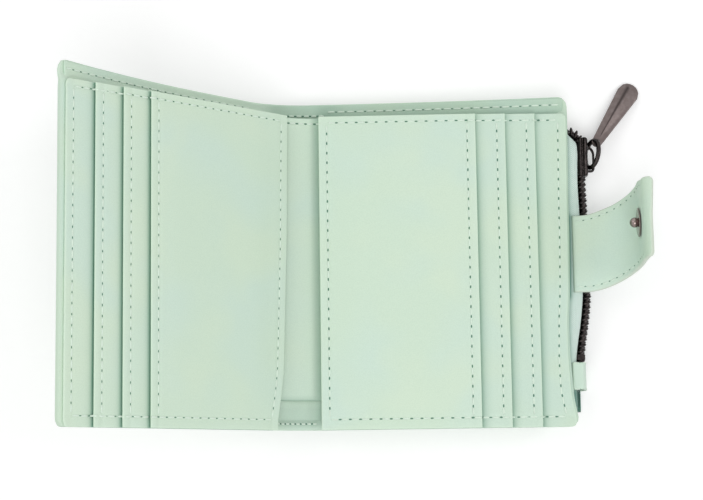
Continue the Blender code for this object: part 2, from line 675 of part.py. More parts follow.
def teeth_row(name, up, first, body, metal):
    """Row of teeth crimped on its cord: one tube whose section swells into a tooth at each pitch."""
    t, reach, outer, cord = TOOTH_HALF_THICK, TOOTH_REACH, TOOTH_OUTER, CORD_RADIUS
    tooth = [(-0.6, -1.0, 0), (0.6, -1.0, 0), (1.0, -0.3, 0), (1.0, 0.32, 0),
             (0.6, 1.0, 1), (-0.6, 1.0, 1), (-1.0, 0.32, 0), (-1.0, -0.3, 0)]
    cord_shares = [(-0.6, -1.0), (0.6, -1.0), (1.0, -0.4), (1.0, 0.4),
                   (0.6, 1.0), (-0.6, 1.0), (-1.0, 0.4), (-1.0, -0.4)]

    def ring(y, swell, lead):
        rim = []
        for (a, b, head), (c, d) in zip(tooth, cord_shares):
            half = TOOTH_HALF_HEAD if head else TOOTH_HALF_BODY
            across = a * t if swell else c * cord
            along = b * (outer if b < 0 else reach) if swell else d * cord
            place = y + lead * half
            rim.append(Vector((chain_x(place) + across, place,
                               -CHAIN_DEPTH + up * (row_offset(place) - along))))
        return rim

    rings = [ring(first - TOOTH_PITCH / 2, False, 0)]
    count = int((CHAIN_TOP - first) / TOOTH_PITCH)
    for k in range(count):
        y = first + k * TOOTH_PITCH
        rings += [ring(y, True, -1), ring(y, True, 1), ring(y + TOOTH_PITCH / 2, False, 0)]
    return loft(name, rings, body, metal)


def tape_edge(y):
    """Distance of a tape's free edge from the chain's centre."""
    return row_offset(y) + TOOTH_OUTER + CLEARANCE


def zip_tapes(body, tape):
    """Front and back tapes: out of their seams, past the fore edge and round into the chain's plane."""
    seam = PANEL_OUTER - TAPE_SEAM
    low, high = CAP_TOP - CAP_LENGTH - TAPE_TAIL, CHAIN_TOP + TOOTH_PITCH + STOP_LENGTH
    edge = TAB_ROOT.x - CLEARANCE
    half, bend = TAPE_SHEET / 2, TAPE_BEND

    def front(y):
        end = chain_x(y)
        return [(seam, wall_under(seam, y)), (seam + TAPE_SEAM / 2, wall_under(seam, y) + CLEARANCE),
                (edge, TAB_UNDER), ((edge + end - bend) / 2, TAB_UNDER), (end + half - bend, TAB_UNDER),
                (end + half - bend * 0.3, TAB_UNDER + bend * 0.3), (end + half, TAB_UNDER + bend),
                (end + half, CHAIN_DEPTH - tape_edge(y))]

    def back(y):
        end = chain_x(y)
        flat = pillow(seam, y, wall_under(seam, y), BACK_FLAT_DEPTH - CLEARANCE - TAPE_SHEET, 2 * TAPE_SHEET)
        in_cap = smoothstep((CAP_TOP + 2 * TAPE_TAIL - y) / TAPE_TAIL)
        below = BACK_STACK - CLEARANCE - TAPE_SHEET - in_cap * (CAP_LEATHER + CLEARANCE)
        return [(seam, flat), (seam + TAPE_SEAM / 2, flat), (edge, flat), (edge + bend, below),
                (end - bend, below), (end - half - bend * 0.2, below - bend * 0.15),
                (end - half, below - bend / 2), (end - half, CHAIN_DEPTH + tape_edge(y))]

    for name, path in (("zip_tape_front", front), ("zip_tape_back", back)):
        def surface(share, v, path=path):
            y = low + v * (high - low)
            points = path(y)
            x, depth = points[round(share * (len(points) - 1))]
            return Vector((x, y, -depth))
        sheet(name, even_shares(len(front(low)) - 1), even_shares(TAPE_STEPS), surface, TAPE_SHEET,
              body, tape)


def block(name, low, high, body, material):
    """Box between two corners."""
    outline = [(low.x, low.z), (high.x, low.z), (high.x, high.z), (low.x, high.z)]
    return prism(name, outline, lambda a, b, c: Vector((a, c, b)), low.y, high.y, body, material)


def zip_stops(body, metal):
    """Bottom stop across both rows and a top stop on each row."""
    half = STOP_HALF_THICK
    low = CHAIN_BOTTOM - TOOTH_PITCH - STOP_LENGTH
    x = chain_x(low)
    span = ROW_HALF_SPACING + TOOTH_OUTER
    block("zip_bottom_stop", Vector((x - half, low, -CHAIN_DEPTH - span)),
          Vector((x + half, low + STOP_LENGTH, -CHAIN_DEPTH + span)), body, metal)
    for name, up in (("zip_top_stop_front", 1), ("zip_top_stop_back", -1)):
        y = CHAIN_TOP + TOOTH_PITCH
        x = chain_x(CHAIN_TOP)
        centre = -CHAIN_DEPTH + up * row_offset(CHAIN_TOP)
        block(name, Vector((x - half, y, centre - TOOTH_OUTER)),
              Vector((x + half, y + STOP_LENGTH, centre + TOOTH_OUTER)), body, metal)


def zip_end_cap(body, skin):
    """Leather folded over the lower end of the chain: a U in section, open towards the pocket."""
    inner = TAB_ROOT.x
    outer = chain_x(CAP_TOP) + CAP_REACH
    top = -TAB_UNDER + CLEARANCE + CAP_LEATHER
    bottom = -BACK_STACK + CLEARANCE
    wall = CAP_LEATHER
    fold = wall + wall
    outline = [(inner, top), (outer - fold, top), (outer, top - fold), (outer, bottom + fold),
               (outer - fold, bottom), (inner, bottom), (inner, bottom + wall),
               (outer - fold, bottom + wall), (outer - wall, bottom + fold), (outer - wall, top - fold),
               (outer - fold, top - wall), (inner, top - wall)]
    return prism("zip_end_cap", outline, lambda a, b, c: Vector((a, c, b)), CAP_TOP - CAP_LENGTH, CAP_TOP,
                 body, skin)


def slider_width(y):
    """Half width of the channel's outer wall at a place along the slider."""
    return row_offset(y) + TOOTH_OUTER + SLIDER_RUN


def slider(body, metal):
    """Slider: a block with a Y-shaped channel for the rows, slots for the tapes and a bridge on top."""
    centre_x = body.origin.x
    low, high = SLIDER_CENTRE - SLIDER_LENGTH / 2, SLIDER_CENTRE + SLIDER_LENGTH / 2
    half = TOOTH_HALF_THICK + SLIDER_RUN
    outer = half + SLIDER_PLATE
    stations = [low + SLIDER_LENGTH * k / 6 for k in range(7)]

    def level(a, b, c):
        return Vector((centre_x + c, a, -CHAIN_DEPTH + b))

    sides = [(y, slider_width(y) + SLIDER_LIP) for y in stations]
    outline = sides + [(y, -w) for y, w in reversed(sides)]
    piece = prism("zip_slider", outline, level, -outer, outer, body, metal)
    bevel = piece.modifiers.new("soft edges", "BEVEL")
    bevel.width = SLIDER_BEVEL
    bevel.segments = 2
    bevel.limit_method = "ANGLE"

    wedge = [(y, row_offset(y) - TOOTH_REACH - SLIDER_RUN) for y in stations]
    wedge = [(y, w) for y, w in wedge if w > SLIDER_RUN]
    ends = [(low - CUT_OVERRUN, slider_width(low))] + [(y, slider_width(y)) for y in stations]
    ends.append((high + CUT_OVERRUN, slider_width(high)))
    inner = [(high + CUT_OVERRUN, wedge[-1][1])] + list(reversed(wedge))
    tip = (wedge[0][0] - SLIDER_RUN, 0.0)
    channel = ends + inner + [tip] + [(y, -w) for y, w in reversed(inner)] + [(y, -w) for y, w in reversed(ends)]
    void = cutter_style(prism("slider_channel", channel, level, -half, half, body, None, CUTTERS))
    combine(piece, void, "DIFFERENCE")
    reach = slider_width(high) + CUT_OVERRUN
    for up in (1, -1):
        near = ROW_HALF_SPACING + CORD_RADIUS
        slot = [(low - CUT_OVERRUN, up * near), (high + CUT_OVERRUN, up * near),
                (high + CUT_OVERRUN, up * reach), (low - CUT_OVERRUN, up * reach)]
        name = "slider_slot_front" if up > 0 else "slider_slot_back"
        cut = prism(name, slot, level, -TAPE_SLOT_HALF, TAPE_SLOT_HALF, body, None, CUTTERS)
        combine(piece, cutter_style(cut), "DIFFERENCE")

    start = low + BRIDGE_END
    end = start + BRIDGE_LENGTH
    base = outer - BRIDGE_SINK
    crown = outer + BRIDGE_OPENING
    rise = BRIDGE_BAR
    foot = BRIDGE_FOOT
    arch = [(start, base), (start, crown), (start + rise, crown + rise), (end - 3 * foot, crown + rise),
            (end, outer + foot), (end, base), (end - foot, base), (end - foot, outer + foot / 2),
            (end - 3 * foot, crown), (start + foot, crown), (start + foot, base)]
    bridge = prism("slider_bridge", arch, lambda a, b, c: Vector((centre_x + b, a, -CHAIN_DEPTH + c)),
                   -BRIDGE_HALF_WIDTH, BRIDGE_HALF_WIDTH, body, None, CUTTERS)
    combine(piece, cutter_style(bridge), "UNION")
    return piece


def ring_axes():
    """Long direction of the ring and its width direction, at rest."""
    lean, twist = math.radians(RING_LEAN), math.radians(RING_TWIST)
    along = Vector((math.sin(lean), math.cos(lean), 0.0))
    side = Vector((math.cos(lean), -math.sin(lean), 0.0))
    across = side * math.cos(twist) + Vector((0.0, 0.0, math.sin(twist)))
    return along, across


def jump_ring(body, metal):
    """Oval wire ring that links the pull to the slider's bridge."""
    along, across = ring_axes()
    curve = bpy.data.curves.new("jump_ring", "CURVE")
    curve.dimensions = "3D"
    curve.bevel_depth = RING_WIRE
    curve.bevel_resolution = 2
    spline = curve.splines.new("POLY")
    spline.points.add(RING_STEPS - 1)
    for k, point in enumerate(spline.points):
        angle = 2 * math.pi * k / RING_STEPS
        place = (along * (RING_HALF_LENGTH * (1 - math.cos(angle)))
                 + across * (RING_HALF_WIDTH * math.sin(angle)))
        point.co = (place.x, place.y, place.z, 1.0)
    spline.use_cyclic_u = True
    curve.materials.append(metal)
    obj = bpy.data.objects.new("jump_ring", curve)
    PARTS.objects.link(obj)
    return body.carry(obj)


def zip_pull(body, metal):
    """Teardrop pull with a ridge down its face and an eye at the narrow end."""
    turn, slope = math.radians(PULL_TURN), math.radians(PULL_SLOPE)
    along = Vector((math.sin(turn) * math.cos(slope), math.cos(turn) * math.cos(slope), -math.sin(slope)))
    side = Vector((math.cos(turn), -math.sin(turn), 0.0))
    up = side.cross(along)
    bulk = PULL_LENGTH - PULL_END
    lean = math.asin((PULL_END - PULL_EYE) / bulk)

    def station(place, half):
        rise = PULL_RIDGE * smoothstep((place - PULL_EYE) / PULL_LENGTH * 3)
        flat = half * 0.75
        rim = [(-half, 0.0), (-flat, PULL_HALF_THICK), (-flat / 3, PULL_HALF_THICK + rise),
               (flat, PULL_HALF_THICK), (half, 0.0), (flat, -PULL_HALF_THICK), (-flat, -PULL_HALF_THICK)]
        return [body.origin + along * place + side * a + up * b for a, b in rim]

    eye_end = math.pi / 2 - lean
    rings = []
    for k in range(1, 4):
        angle = math.pi - (math.pi - eye_end) * k / 4 if k < 4 else eye_end
        rings.append(station(-PULL_EYE * math.cos(math.pi - angle), PULL_EYE * math.sin(angle)))
    start = (-PULL_EYE * math.sin(lean), PULL_EYE * math.cos(lean))
    finish = (bulk - PULL_END * math.sin(lean), PULL_END * math.cos(lean))
    for k in range(PULL_STEPS + 1):
        share = k / PULL_STEPS
        rings.append(station(start[0] + share * (finish[0] - start[0]),
                             start[1] + share * (finish[1] - start[1])))
    for k in range(1, 6):
        angle = (math.pi / 2 + lean) * (1 - k / 6)
        rings.append(station(bulk + PULL_END * math.cos(angle), PULL_END * math.sin(angle)))
    piece = loft("zip_pull", rings, body, metal)
    frame = Matrix((side, along, up)).transposed().to_4x4()
    combine(piece, round_cutter("pull_hole", PULL_HOLE, frame, body), "DIFFERENCE")
    return piece


def build():
    """Make the bodies and every piece on them."""
    skin = make_material("mint_leather", LEATHER, 0.55)
    deep = make_material("mint_leather_lining", LEATHER_DEEP, 0.65)
    lining = make_material("coin_lining_fabric", LINING, 0.85)
    tape = make_material("zip_tape_weave", TAPE, 0.8)
    dark = make_material("gunmetal", GUNMETAL, 0.35, 1.0)
    nickel = make_material("dark_nickel", NICKEL, 0.3, 1.0)

    root = Body("back_half_frame", (0.0, 0.0, 0.0))
    root.empty.location = (-REST_FACE_CENTRE, 0.0, BACK_STACK)
    front = Body("spine_fold_axis", (0.0, 0.0, FOLD_AXIS_HEIGHT), root)
    front.empty.rotation_euler = (0.0, math.radians(REST_ANGLE), 0.0)
    flap = Body("tab_axis", TAB_HINGE, root)
    runner = Body("slider_centre", (PANEL_OUTER + CHAIN_REACH, SLIDER_CENTRE, -CHAIN_DEPTH), root)
    seat = runner.origin + Vector((TOOTH_HALF_THICK + SLIDER_RUN + SLIDER_PLATE + RING_SEAT,
                                   BRIDGE_END + BRIDGE_FOOT + RING_WIRE + RING_PLAY - SLIDER_LENGTH / 2, 0.0))
    link = Body("ring_axis", seat, runner)
    hang = Body("pull_axis", seat + ring_axes()[0] * (2 * RING_HALF_LENGTH), link)

    front_half(front, skin, deep, nickel)
    back_half(root, skin, deep, lining)
    spine(root, skin, deep)
    tab_root(root, skin)
    tab(flap, skin, skin, nickel, dark)
    teeth_row("zip_teeth_front", 1, CHAIN_BOTTOM, root, dark)
    teeth_row("zip_teeth_back", -1, CHAIN_BOTTOM + TOOTH_PITCH / 2, root, dark)
    zip_tapes(root, tape)
    zip_stops(root, dark)
    zip_end_cap(root, skin)
    slider(runner, dark)
    jump_ring(link, dark)
    zip_pull(hang, nickel)
    for obj in PARTS.objects:
        if obj.type == "MESH":
            obj.data.shade_smooth()
            obj.data.set_sharp_from_angle(angle=math.radians(30))


clear_scene()
PARTS = bpy.data.collections.new("compact_wallet")
CUTTERS = bpy.data.collections.new("cutters")
bpy.context.scene.collection.children.link(PARTS)
bpy.context.scene.collection.children.link(CUTTERS)
build()
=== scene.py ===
"""Looks of a compact bifold wallet in mint leather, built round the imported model.

Lengths are in millimetres in the fold frame, where x runs along the right half away from the fold line,
y along the fold line and z up from the face of the right front pocket. A point of the left half is given by
its place s along the half, its height y and its depth below the pocket face, and is then turned about the
fold line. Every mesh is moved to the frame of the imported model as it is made.
"""

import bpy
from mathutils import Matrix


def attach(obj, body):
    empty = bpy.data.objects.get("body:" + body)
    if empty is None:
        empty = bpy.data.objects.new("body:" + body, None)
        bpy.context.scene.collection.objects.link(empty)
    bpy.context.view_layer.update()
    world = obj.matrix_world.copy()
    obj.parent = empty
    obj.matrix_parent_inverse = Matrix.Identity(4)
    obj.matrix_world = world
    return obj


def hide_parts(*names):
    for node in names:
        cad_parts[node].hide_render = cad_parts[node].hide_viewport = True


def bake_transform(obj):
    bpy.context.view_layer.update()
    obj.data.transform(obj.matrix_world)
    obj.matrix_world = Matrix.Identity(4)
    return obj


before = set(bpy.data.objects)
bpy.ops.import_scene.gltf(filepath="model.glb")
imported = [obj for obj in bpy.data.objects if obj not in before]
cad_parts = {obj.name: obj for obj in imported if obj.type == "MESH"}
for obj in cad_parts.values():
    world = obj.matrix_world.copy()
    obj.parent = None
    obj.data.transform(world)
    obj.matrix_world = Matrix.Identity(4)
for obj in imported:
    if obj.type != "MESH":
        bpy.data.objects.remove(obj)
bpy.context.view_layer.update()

import logging
import math
from dataclasses import dataclass
from enum import Enum
from typing import Callable, Iterable, Sequence

import bpy
import numpy as np
from mathutils import Matrix, Vector

Array = np.ndarray
Colour = tuple[float, float, float]
Places = tuple[float, ...]
Point = tuple[float, float, float]

LOG = logging.getLogger("wallet")
MM = 0.001
TO_MODEL = np.array([-43.2, 0.0, 16.1])


class Half(Enum):
    """The two halves of the wallet, by the sign of x when it lies flat."""

    LEFT = -1
    RIGHT = 1


class Body(Enum):
    """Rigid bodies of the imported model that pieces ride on."""

    BACK = "back_half"
    FRONT = "front_half"
    TAB = "tab"
    SLIDER = "zip_slider"
    RING = "jump_ring"
    PULL = "zip_pull"


class Slot(Enum):
    """Material slots that the record names."""

    LEATHER = "mint_leather"
    LINING = "mint_leather_lining"
    COIN = "coin_lining_fabric"
    TAPE = "zip_tape_weave"
    DARK = "gunmetal"
    NICKEL = "dark_nickel"


# Small mathematics on whole arrays

def ease(value: Array | float) -> Array:
    """Smooth step from 0 to 1: 3t^2 - 2t^3 of the value held between 0 and 1."""
    held = np.clip(value, 0.0, 1.0)
    return held * held * (3.0 - 2.0 * held)


def ridge(value: Array, width: float) -> Array:
    """Bell of height 1 and the given half width: exp(-(value / width)^2)."""
    return np.exp(-(value / width) ** 2)


def unit(vectors: Array) -> Array:
    """Vectors divided by their lengths."""
    return vectors / np.maximum(np.linalg.norm(vectors, axis=-1, keepdims=True), 1e-12)


def grid_normals(points: Array) -> Array:
    """Unit normals of a grid of shape (u, v, 3): cross product of its differences along u and along v."""
    return unit(np.cross(np.gradient(points, axis=0), np.gradient(points, axis=1)))


def run_lengths(points: Array, axis: int = 0) -> Array:
    """Lengths run along one axis of a path or grid of points, from 0 at its start."""
    steps = np.linalg.norm(np.diff(points, axis=axis), axis=-1)
    return np.concatenate([np.zeros_like(np.take(steps, [0], axis)), np.cumsum(steps, axis)], axis)


def edge_distance(points: Array) -> Array:
    """Distance of each grid point from the nearest border, measured along the grid lines.

    Args:
        points: Grid of points, shape (u, v, 3).

    Returns:
        Distances of shape (u, v).
    """
    nearest = np.full(points.shape[:2], np.inf)
    for axis in (0, 1):
        run = run_lengths(points, axis)
        nearest = np.minimum(nearest, np.minimum(run, np.take(run, [-1], axis) - run))
    return nearest


def stations(length: float, step: float, fine: Sequence[float] = (0.0, 0.04, 0.13, 0.28, 0.5)) -> Array:
    """Shares from 0 to 1 along a length: close together at both ends, even between them.

    Args:
        length: Length that the shares divide.
        step: Even step between the ends.
        fine: Places of the close stations from either end.

    Returns:
        Rising shares that start at 0 and end at 1.
    """
    ends = np.asarray(fine)
    count = max(2, int(round((length - 2 * ends[-1]) / step)))
    middle = np.linspace(ends[-1], length - ends[-1], count + 1)[1:-1]
    return np.concatenate([ends, middle, length - ends[::-1]]) / length


def spread(low: float, high: float, step: float) -> Array:
    """Places from one number to another: close together at both ends, even between them."""
    return low + stations(high - low, step) * (high - low)


def circle(count: int) -> Array:
    """Angles of even places round a circle."""
    return np.linspace(0.0, 2 * math.pi, count, endpoint=False)


def blunt(wave: Array, power: float) -> Array:
    """Sine or cosine with its size raised to a power: below 1 it makes a circle squarer."""
    return np.sign(wave) * np.abs(wave) ** power


def nearest_index(values: Array, place: float) -> int:
    """Index of the value that is nearest to a place."""
    return int(np.abs(values - place).argmin())


def seamed(length: float, step: float, seams: Sequence[float]) -> Array:
    """Stations that also run along each seam and beside it, so that the mesh holds the seam's groove.

    Args:
        length: Width of the sheet.
        step: Largest step.
        seams: Places of the seams from the sheet's start.

    Returns:
        Shares from 0 to 1.
    """
    near = [seam + side for seam in seams for side in (-1.1, -0.55, 0.0, 0.55, 1.1)]
    plain = [place for place in stations(length, step) * length
             if all(abs(place - line) > 0.25 for line in near) or min(place, length - place) < 0.6]
    places = np.unique(np.round(plain + [line for line in near if 0.6 < line < length - 0.6], 4))
    return places / length


def along_path(path: Array, run: Array, at: Array) -> Array:
    """Points of a path at the lengths wanted, where run is the length run at each of its points."""
    return np.stack([np.interp(at, run, values) for values in path.T], axis=1)


def resample(path: Array, pitch: float) -> tuple[Array, Array]:
    """Even places along a path and the directions there.

    Args:
        path: Points of the path, shape (n, 3).
        pitch: Distance wanted between places; it is stretched a little to fit.

    Returns:
        Places and unit directions, each of shape (m, 3).
    """
    run = run_lengths(path)
    count = max(1, int(round(run[-1] / pitch)))
    at = (np.arange(count) + 0.5) * run[-1] / count
    reach = run[-1] / count / 4
    ahead = along_path(path, run, at + reach) - along_path(path, run, at - reach)
    return along_path(path, run, at), unit(ahead)


def rounded_route(route: Sequence[tuple[float, float]], reach: float, count: int) -> Array:
    """Even points along a route of straight runs, its corners rounded by averaging along it.

    Args:
        route: Corner points.
        reach: Distance along the route, to either side, over which a point is averaged.
        count: Number of points.

    Returns:
        Points of shape (count, 2).
    """
    corners = np.array(route)
    run = run_lengths(corners)
    at = np.linspace(0.0, run[-1], count)
    near = [np.clip(at + shift, 0.0, run[-1]) for shift in np.linspace(-reach, reach, 9)]
    return np.mean([along_path(corners, run, places) for places in near], axis=0)


# Finishes

class Recipe:
    """Node tree of one material, with short calls for the nodes that it uses."""

    def __init__(self, name: str) -> None:
        """Start a material with an empty principled shader.

        Args:
            name: Name of the material.
        """
        self.material = bpy.data.materials.new(name)
        self.material.use_nodes = True
        self.tree = self.material.node_tree
        self.shader = self.tree.nodes["Principled BSDF"]
        self.place = self.node("ShaderNodeTexCoord").outputs["Object"]

    def node(self, kind: str, **inputs: object) -> bpy.types.Node:
        """New node with values on its input sockets.

        Args:
            kind: Type of the node.
            inputs: Socket names, with underscores for spaces, and their values or the sockets to link.

        Returns:
            The node.
        """
        made = self.tree.nodes.new(kind)
        for name, value in inputs.items():
            self.put(made.inputs[name.replace("_", " ")], value)
        return made

    def put(self, socket: bpy.types.NodeSocket, value: object) -> None:
        """Link a socket to another, or set its value.

        Args:
            socket: Input socket of a node.
            value: Socket to link, or the plain value.
        """
        if isinstance(value, bpy.types.NodeSocket):
            self.tree.links.new(value, socket)
        else:
            socket.default_value = value

    def noise(self, scale: float, detail: float = 2.0, place: object = None) -> bpy.types.NodeSocket:
        """Soft noise from 0 to 1 over the object."""
        made = self.node("ShaderNodeTexNoise", Scale=scale, Detail=detail, Vector=place or self.place)
        return made.outputs["Fac"]

    def cells(self, scale: float, feature: str = "F1") -> bpy.types.NodeSocket:
        """Distance in a field of irregular cells.

        Args:
            scale: Cells in a metre.
            feature: Which distance is measured.

        Returns:
            The socket that carries it.
        """
        made = self.node("ShaderNodeTexVoronoi", Scale=scale, Vector=self.place)
        made.feature = feature
        return made.outputs["Distance"]

    def attribute(self, name: str) -> bpy.types.NodeSocket:
        """Number that the mesh carries at each point.

        Args:
            name: Name of the number on the mesh.

        Returns:
            The socket that carries it.
        """
        made = self.tree.nodes.new("ShaderNodeAttribute")
        made.attribute_name = name
        return made.outputs["Fac"]

    def math(self, operation: str, a: object, b: object = 0.0, c: object = 0.0) -> bpy.types.NodeSocket:
        """Result of one arithmetic node.

        Args:
            operation: Name of the operation.
            a: First number or socket.
            b: Second number or socket.
            c: Third number or socket.

        Returns:
            The socket that carries the result.
        """
        made = self.tree.nodes.new("ShaderNodeMath")
        made.operation = operation
        for socket, value in zip(made.inputs, (a, b, c)):
            self.put(socket, value)
        return made.outputs[0]

    def span(self, value: object, low: float, high: float, start: float = 0.0,
             end: float = 1.0) -> bpy.types.NodeSocket:
        """Value carried from one range to another and held there.

        Args:
            value: Number or socket.
            low: Value that becomes the start.
            high: Value that becomes the end.
            start: Result at the low value.
            end: Result at the high value.

        Returns:
            The socket that carries the result.
        """
        made = self.tree.nodes.new("ShaderNodeMapRange")
        for name, item in (("Value", value), ("From Min", low), ("From Max", high),
                           ("To Min", start), ("To Max", end)):
            self.put(made.inputs[name], item)
        return made.outputs["Result"]

    def blend(self, share: object, a: object, b: object) -> bpy.types.NodeSocket:
        """Mix of two colours by a share.

        Args:
            share: Share of the second colour, a number or a socket.
            a: First colour, or the socket that carries it.
            b: Second colour, or the socket that carries it.

        Returns:
            The socket that carries the mix.
        """
        made = self.tree.nodes.new("ShaderNodeMix")
        made.data_type = "RGBA"
        self.put(made.inputs[0], share)
        for socket, value in ((made.inputs[6], a), (made.inputs[7], b)):
            self.put(socket, (*value, 1.0) if isinstance(value, tuple) else value)
        return made.outputs[2]

    def bump(self, height: object, strength: float, distance: float) -> None:
        """Bend the shader's normals by a height, in metres at a strength of 1."""
        made = self.node("ShaderNodeBump", Height=height, Strength=strength, Distance=distance)
        self.put(self.shader.inputs["Normal"], made.outputs["Normal"])

    def constants(self, **values: float) -> None:
        """Set plain numbers on the shader's own sockets."""
        for name, value in values.items():
            self.shader.inputs[name.replace("_", " ")].default_value = value


@dataclass(frozen=True)
class Leather:
    """Coated leather with a fine crossed grain and soft drifts of tone, darkened by painted shade where the
    mesh carries it.
    """

    name: str
    tone: Colour
    cool: Colour
    warm: Colour
    crease: Colour
    edge: Colour
    roughness: float = 0.5
    grain: float = 0.35
    depth: float = 0.00006

    def make(self) -> bpy.types.Material:
        """Build the material.

        Returns:
            The material, which reads the mesh's painted shade and edge numbers.
        """
        r = Recipe(self.name)
        cool_drift = r.span(r.noise(38.0, 1.0), 0.42, 0.64)
        colour = r.blend(cool_drift, self.tone, self.cool)
        moved = r.node("ShaderNodeMapping", Vector=r.place, Location=(0.3, 0.2, 0.5)).outputs[0]
        warm_drift = r.span(r.noise(55.0, 1.0, moved), 0.48, 0.68, 0.0, 0.8)
        colour = r.blend(warm_drift, colour, self.warm)
        pebble = r.cells(1500.0)
        fine = r.noise(3200.0, 3.0)
        # Fine grain flecks, a little darker towards the painted shade colour.
        colour = r.blend(r.span(fine, 0.35, 0.62, 0.07, 0.0), colour, self.crease)
        colour = r.blend(r.attribute("edge"), colour, self.edge)
        # Painted shade: darker towards the painted shade colour by the number that the mesh carries.
        colour = r.blend(r.attribute("crease"), colour, self.crease)
        r.put(r.shader.inputs["Base Color"], colour)
        uneven = r.span(r.noise(420.0), 0.3, 0.7, self.roughness - 0.05, self.roughness + 0.07)
        r.put(r.shader.inputs["Roughness"], uneven)
        height = r.math("ADD", r.math("MULTIPLY", pebble, 0.7), r.math("MULTIPLY", fine, 0.5))
        r.bump(height, self.grain, self.depth)
        r.constants(Specular_IOR_Level=0.35, Sheen_Weight=0.06, Sheen_Roughness=0.4)
        return r.material


@dataclass(frozen=True)
class Thread:
    """Twisted sewing thread: fine slanted strands along each stitch."""

    name: str
    tone: Colour
    shade: Colour

    def make(self) -> bpy.types.Material:
        """Build the material from a stripe across the stitch's own UV.

        Returns:
            The material.
        """
        r = Recipe(self.name)
        uv = r.tree.nodes.new("ShaderNodeUVMap").outputs[0]
        stripes = r.node("ShaderNodeTexWave", Scale=1.6, Distortion=0.4, Vector=uv)
        stripes.bands_direction = "DIAGONAL"
        dark = r.span(stripes.outputs["Fac"], 0.0, 0.5, 0.5, 0.0)
        r.put(r.shader.inputs["Base Color"], r.blend(dark, self.tone, self.shade))
        r.bump(stripes.outputs["Fac"], 0.5, 0.00008)
        r.constants(Roughness=0.6, Sheen_Weight=0.1)
        return r.material


@dataclass(frozen=True)
class Weave:
    """Herringbone woven tape: slanted ribs that turn back along the middle, from its UV in millimetres."""

    name: str
    tone: Colour
    shade: Colour
    # Colour of painted shade on the tape.
    deep: Colour
    rib: float = 0.62
    turn: float = 2.2

    def make(self) -> bpy.types.Material:
        """Build the material: ribs are a triangle wave of v plus the folded u, over the rib width.

        Returns:
            The material, which reads the mesh's painted shade numbers and darkens towards the deep colour
            there.
        """
        r = Recipe(self.name)
        parts = r.node("ShaderNodeSeparateXYZ", Vector=r.tree.nodes.new("ShaderNodeUVMap").outputs[0])
        u, v = parts.outputs[0], parts.outputs[1]
        folded = r.math("PINGPONG", u, self.turn)
        slant = r.math("DIVIDE", r.math("ADD", v, r.math("MULTIPLY", folded, 0.9)), self.rib)
        rib = r.math("PINGPONG", slant, 0.5)
        weft = r.math("PINGPONG", r.math("DIVIDE", u, 0.28), 0.5)
        cover = r.math("MULTIPLY", r.span(rib, 0.0, 0.34), r.span(weft, 0.0, 0.3, 0.75, 1.0))
        worn = r.math("MULTIPLY", cover, r.span(r.noise(900.0), 0.3, 0.7, 0.75, 1.0))
        colour = r.blend(worn, self.shade, self.tone)
        # Painted shade: darker towards the deep colour by the number that the mesh carries.
        r.put(r.shader.inputs["Base Color"], r.blend(r.attribute("crease"), colour, self.deep))
        r.bump(cover, 0.8, 0.00012)
        r.constants(Roughness=0.85, Sheen_Weight=0.25, Sheen_Roughness=0.5)
        return r.material


@dataclass(frozen=True)
class Metal:
    """Plated metal with faint polishing marks and duller patches."""

    name: str
    tone: Colour
    worn: Colour
    roughness: float
    brushed: float = 0.1

    def make(self) -> bpy.types.Material:
        """Build the material, which darkens by the painted shade that the mesh carries.

        Returns:
            The material.
        """
        r = Recipe(self.name)
        patches = r.noise(700.0, 3.0)
        colour = r.blend(r.span(patches, 0.4, 0.75), self.tone, self.worn)
        # Painted shade: a quarter of the tone where the mesh carries painted shade, as along the pull's
        # ridge.
        dark = tuple(0.25 * part for part in self.tone)
        r.put(r.shader.inputs["Base Color"], r.blend(r.attribute("crease"), colour, dark))
        r.put(r.shader.inputs["Roughness"],
              r.span(r.noise(1500.0), 0.3, 0.7, self.roughness - 0.06, self.roughness + 0.08))
        r.bump(r.noise(2600.0, 4.0), self.brushed, 0.00004)
        r.constants(Metallic=1.0)
        return r.material


@dataclass(frozen=True)
class Plainweave:
    """Thin plain woven lining, read from its UV in millimetres."""

    name: str
    tone: Colour
    shade: Colour
    pitch: float = 0.4

    def make(self) -> bpy.types.Material:
        """Build the material: over and under from the product of two triangle waves.

        Returns:
            The material.
        """
        r = Recipe(self.name)
        parts = r.node("ShaderNodeSeparateXYZ", Vector=r.tree.nodes.new("ShaderNodeUVMap").outputs[0])
        waves = [r.math("PINGPONG", r.math("DIVIDE", parts.outputs[k], self.pitch), 0.5) for k in (0, 1)]
        cover = r.span(r.math("MULTIPLY", waves[0], waves[1]), 0.0, 0.16)
        r.put(r.shader.inputs["Base Color"], r.blend(cover, self.shade, self.tone))
        r.bump(cover, 0.6, 0.00006)
        r.constants(Roughness=0.9, Sheen_Weight=0.2)
        return r.material


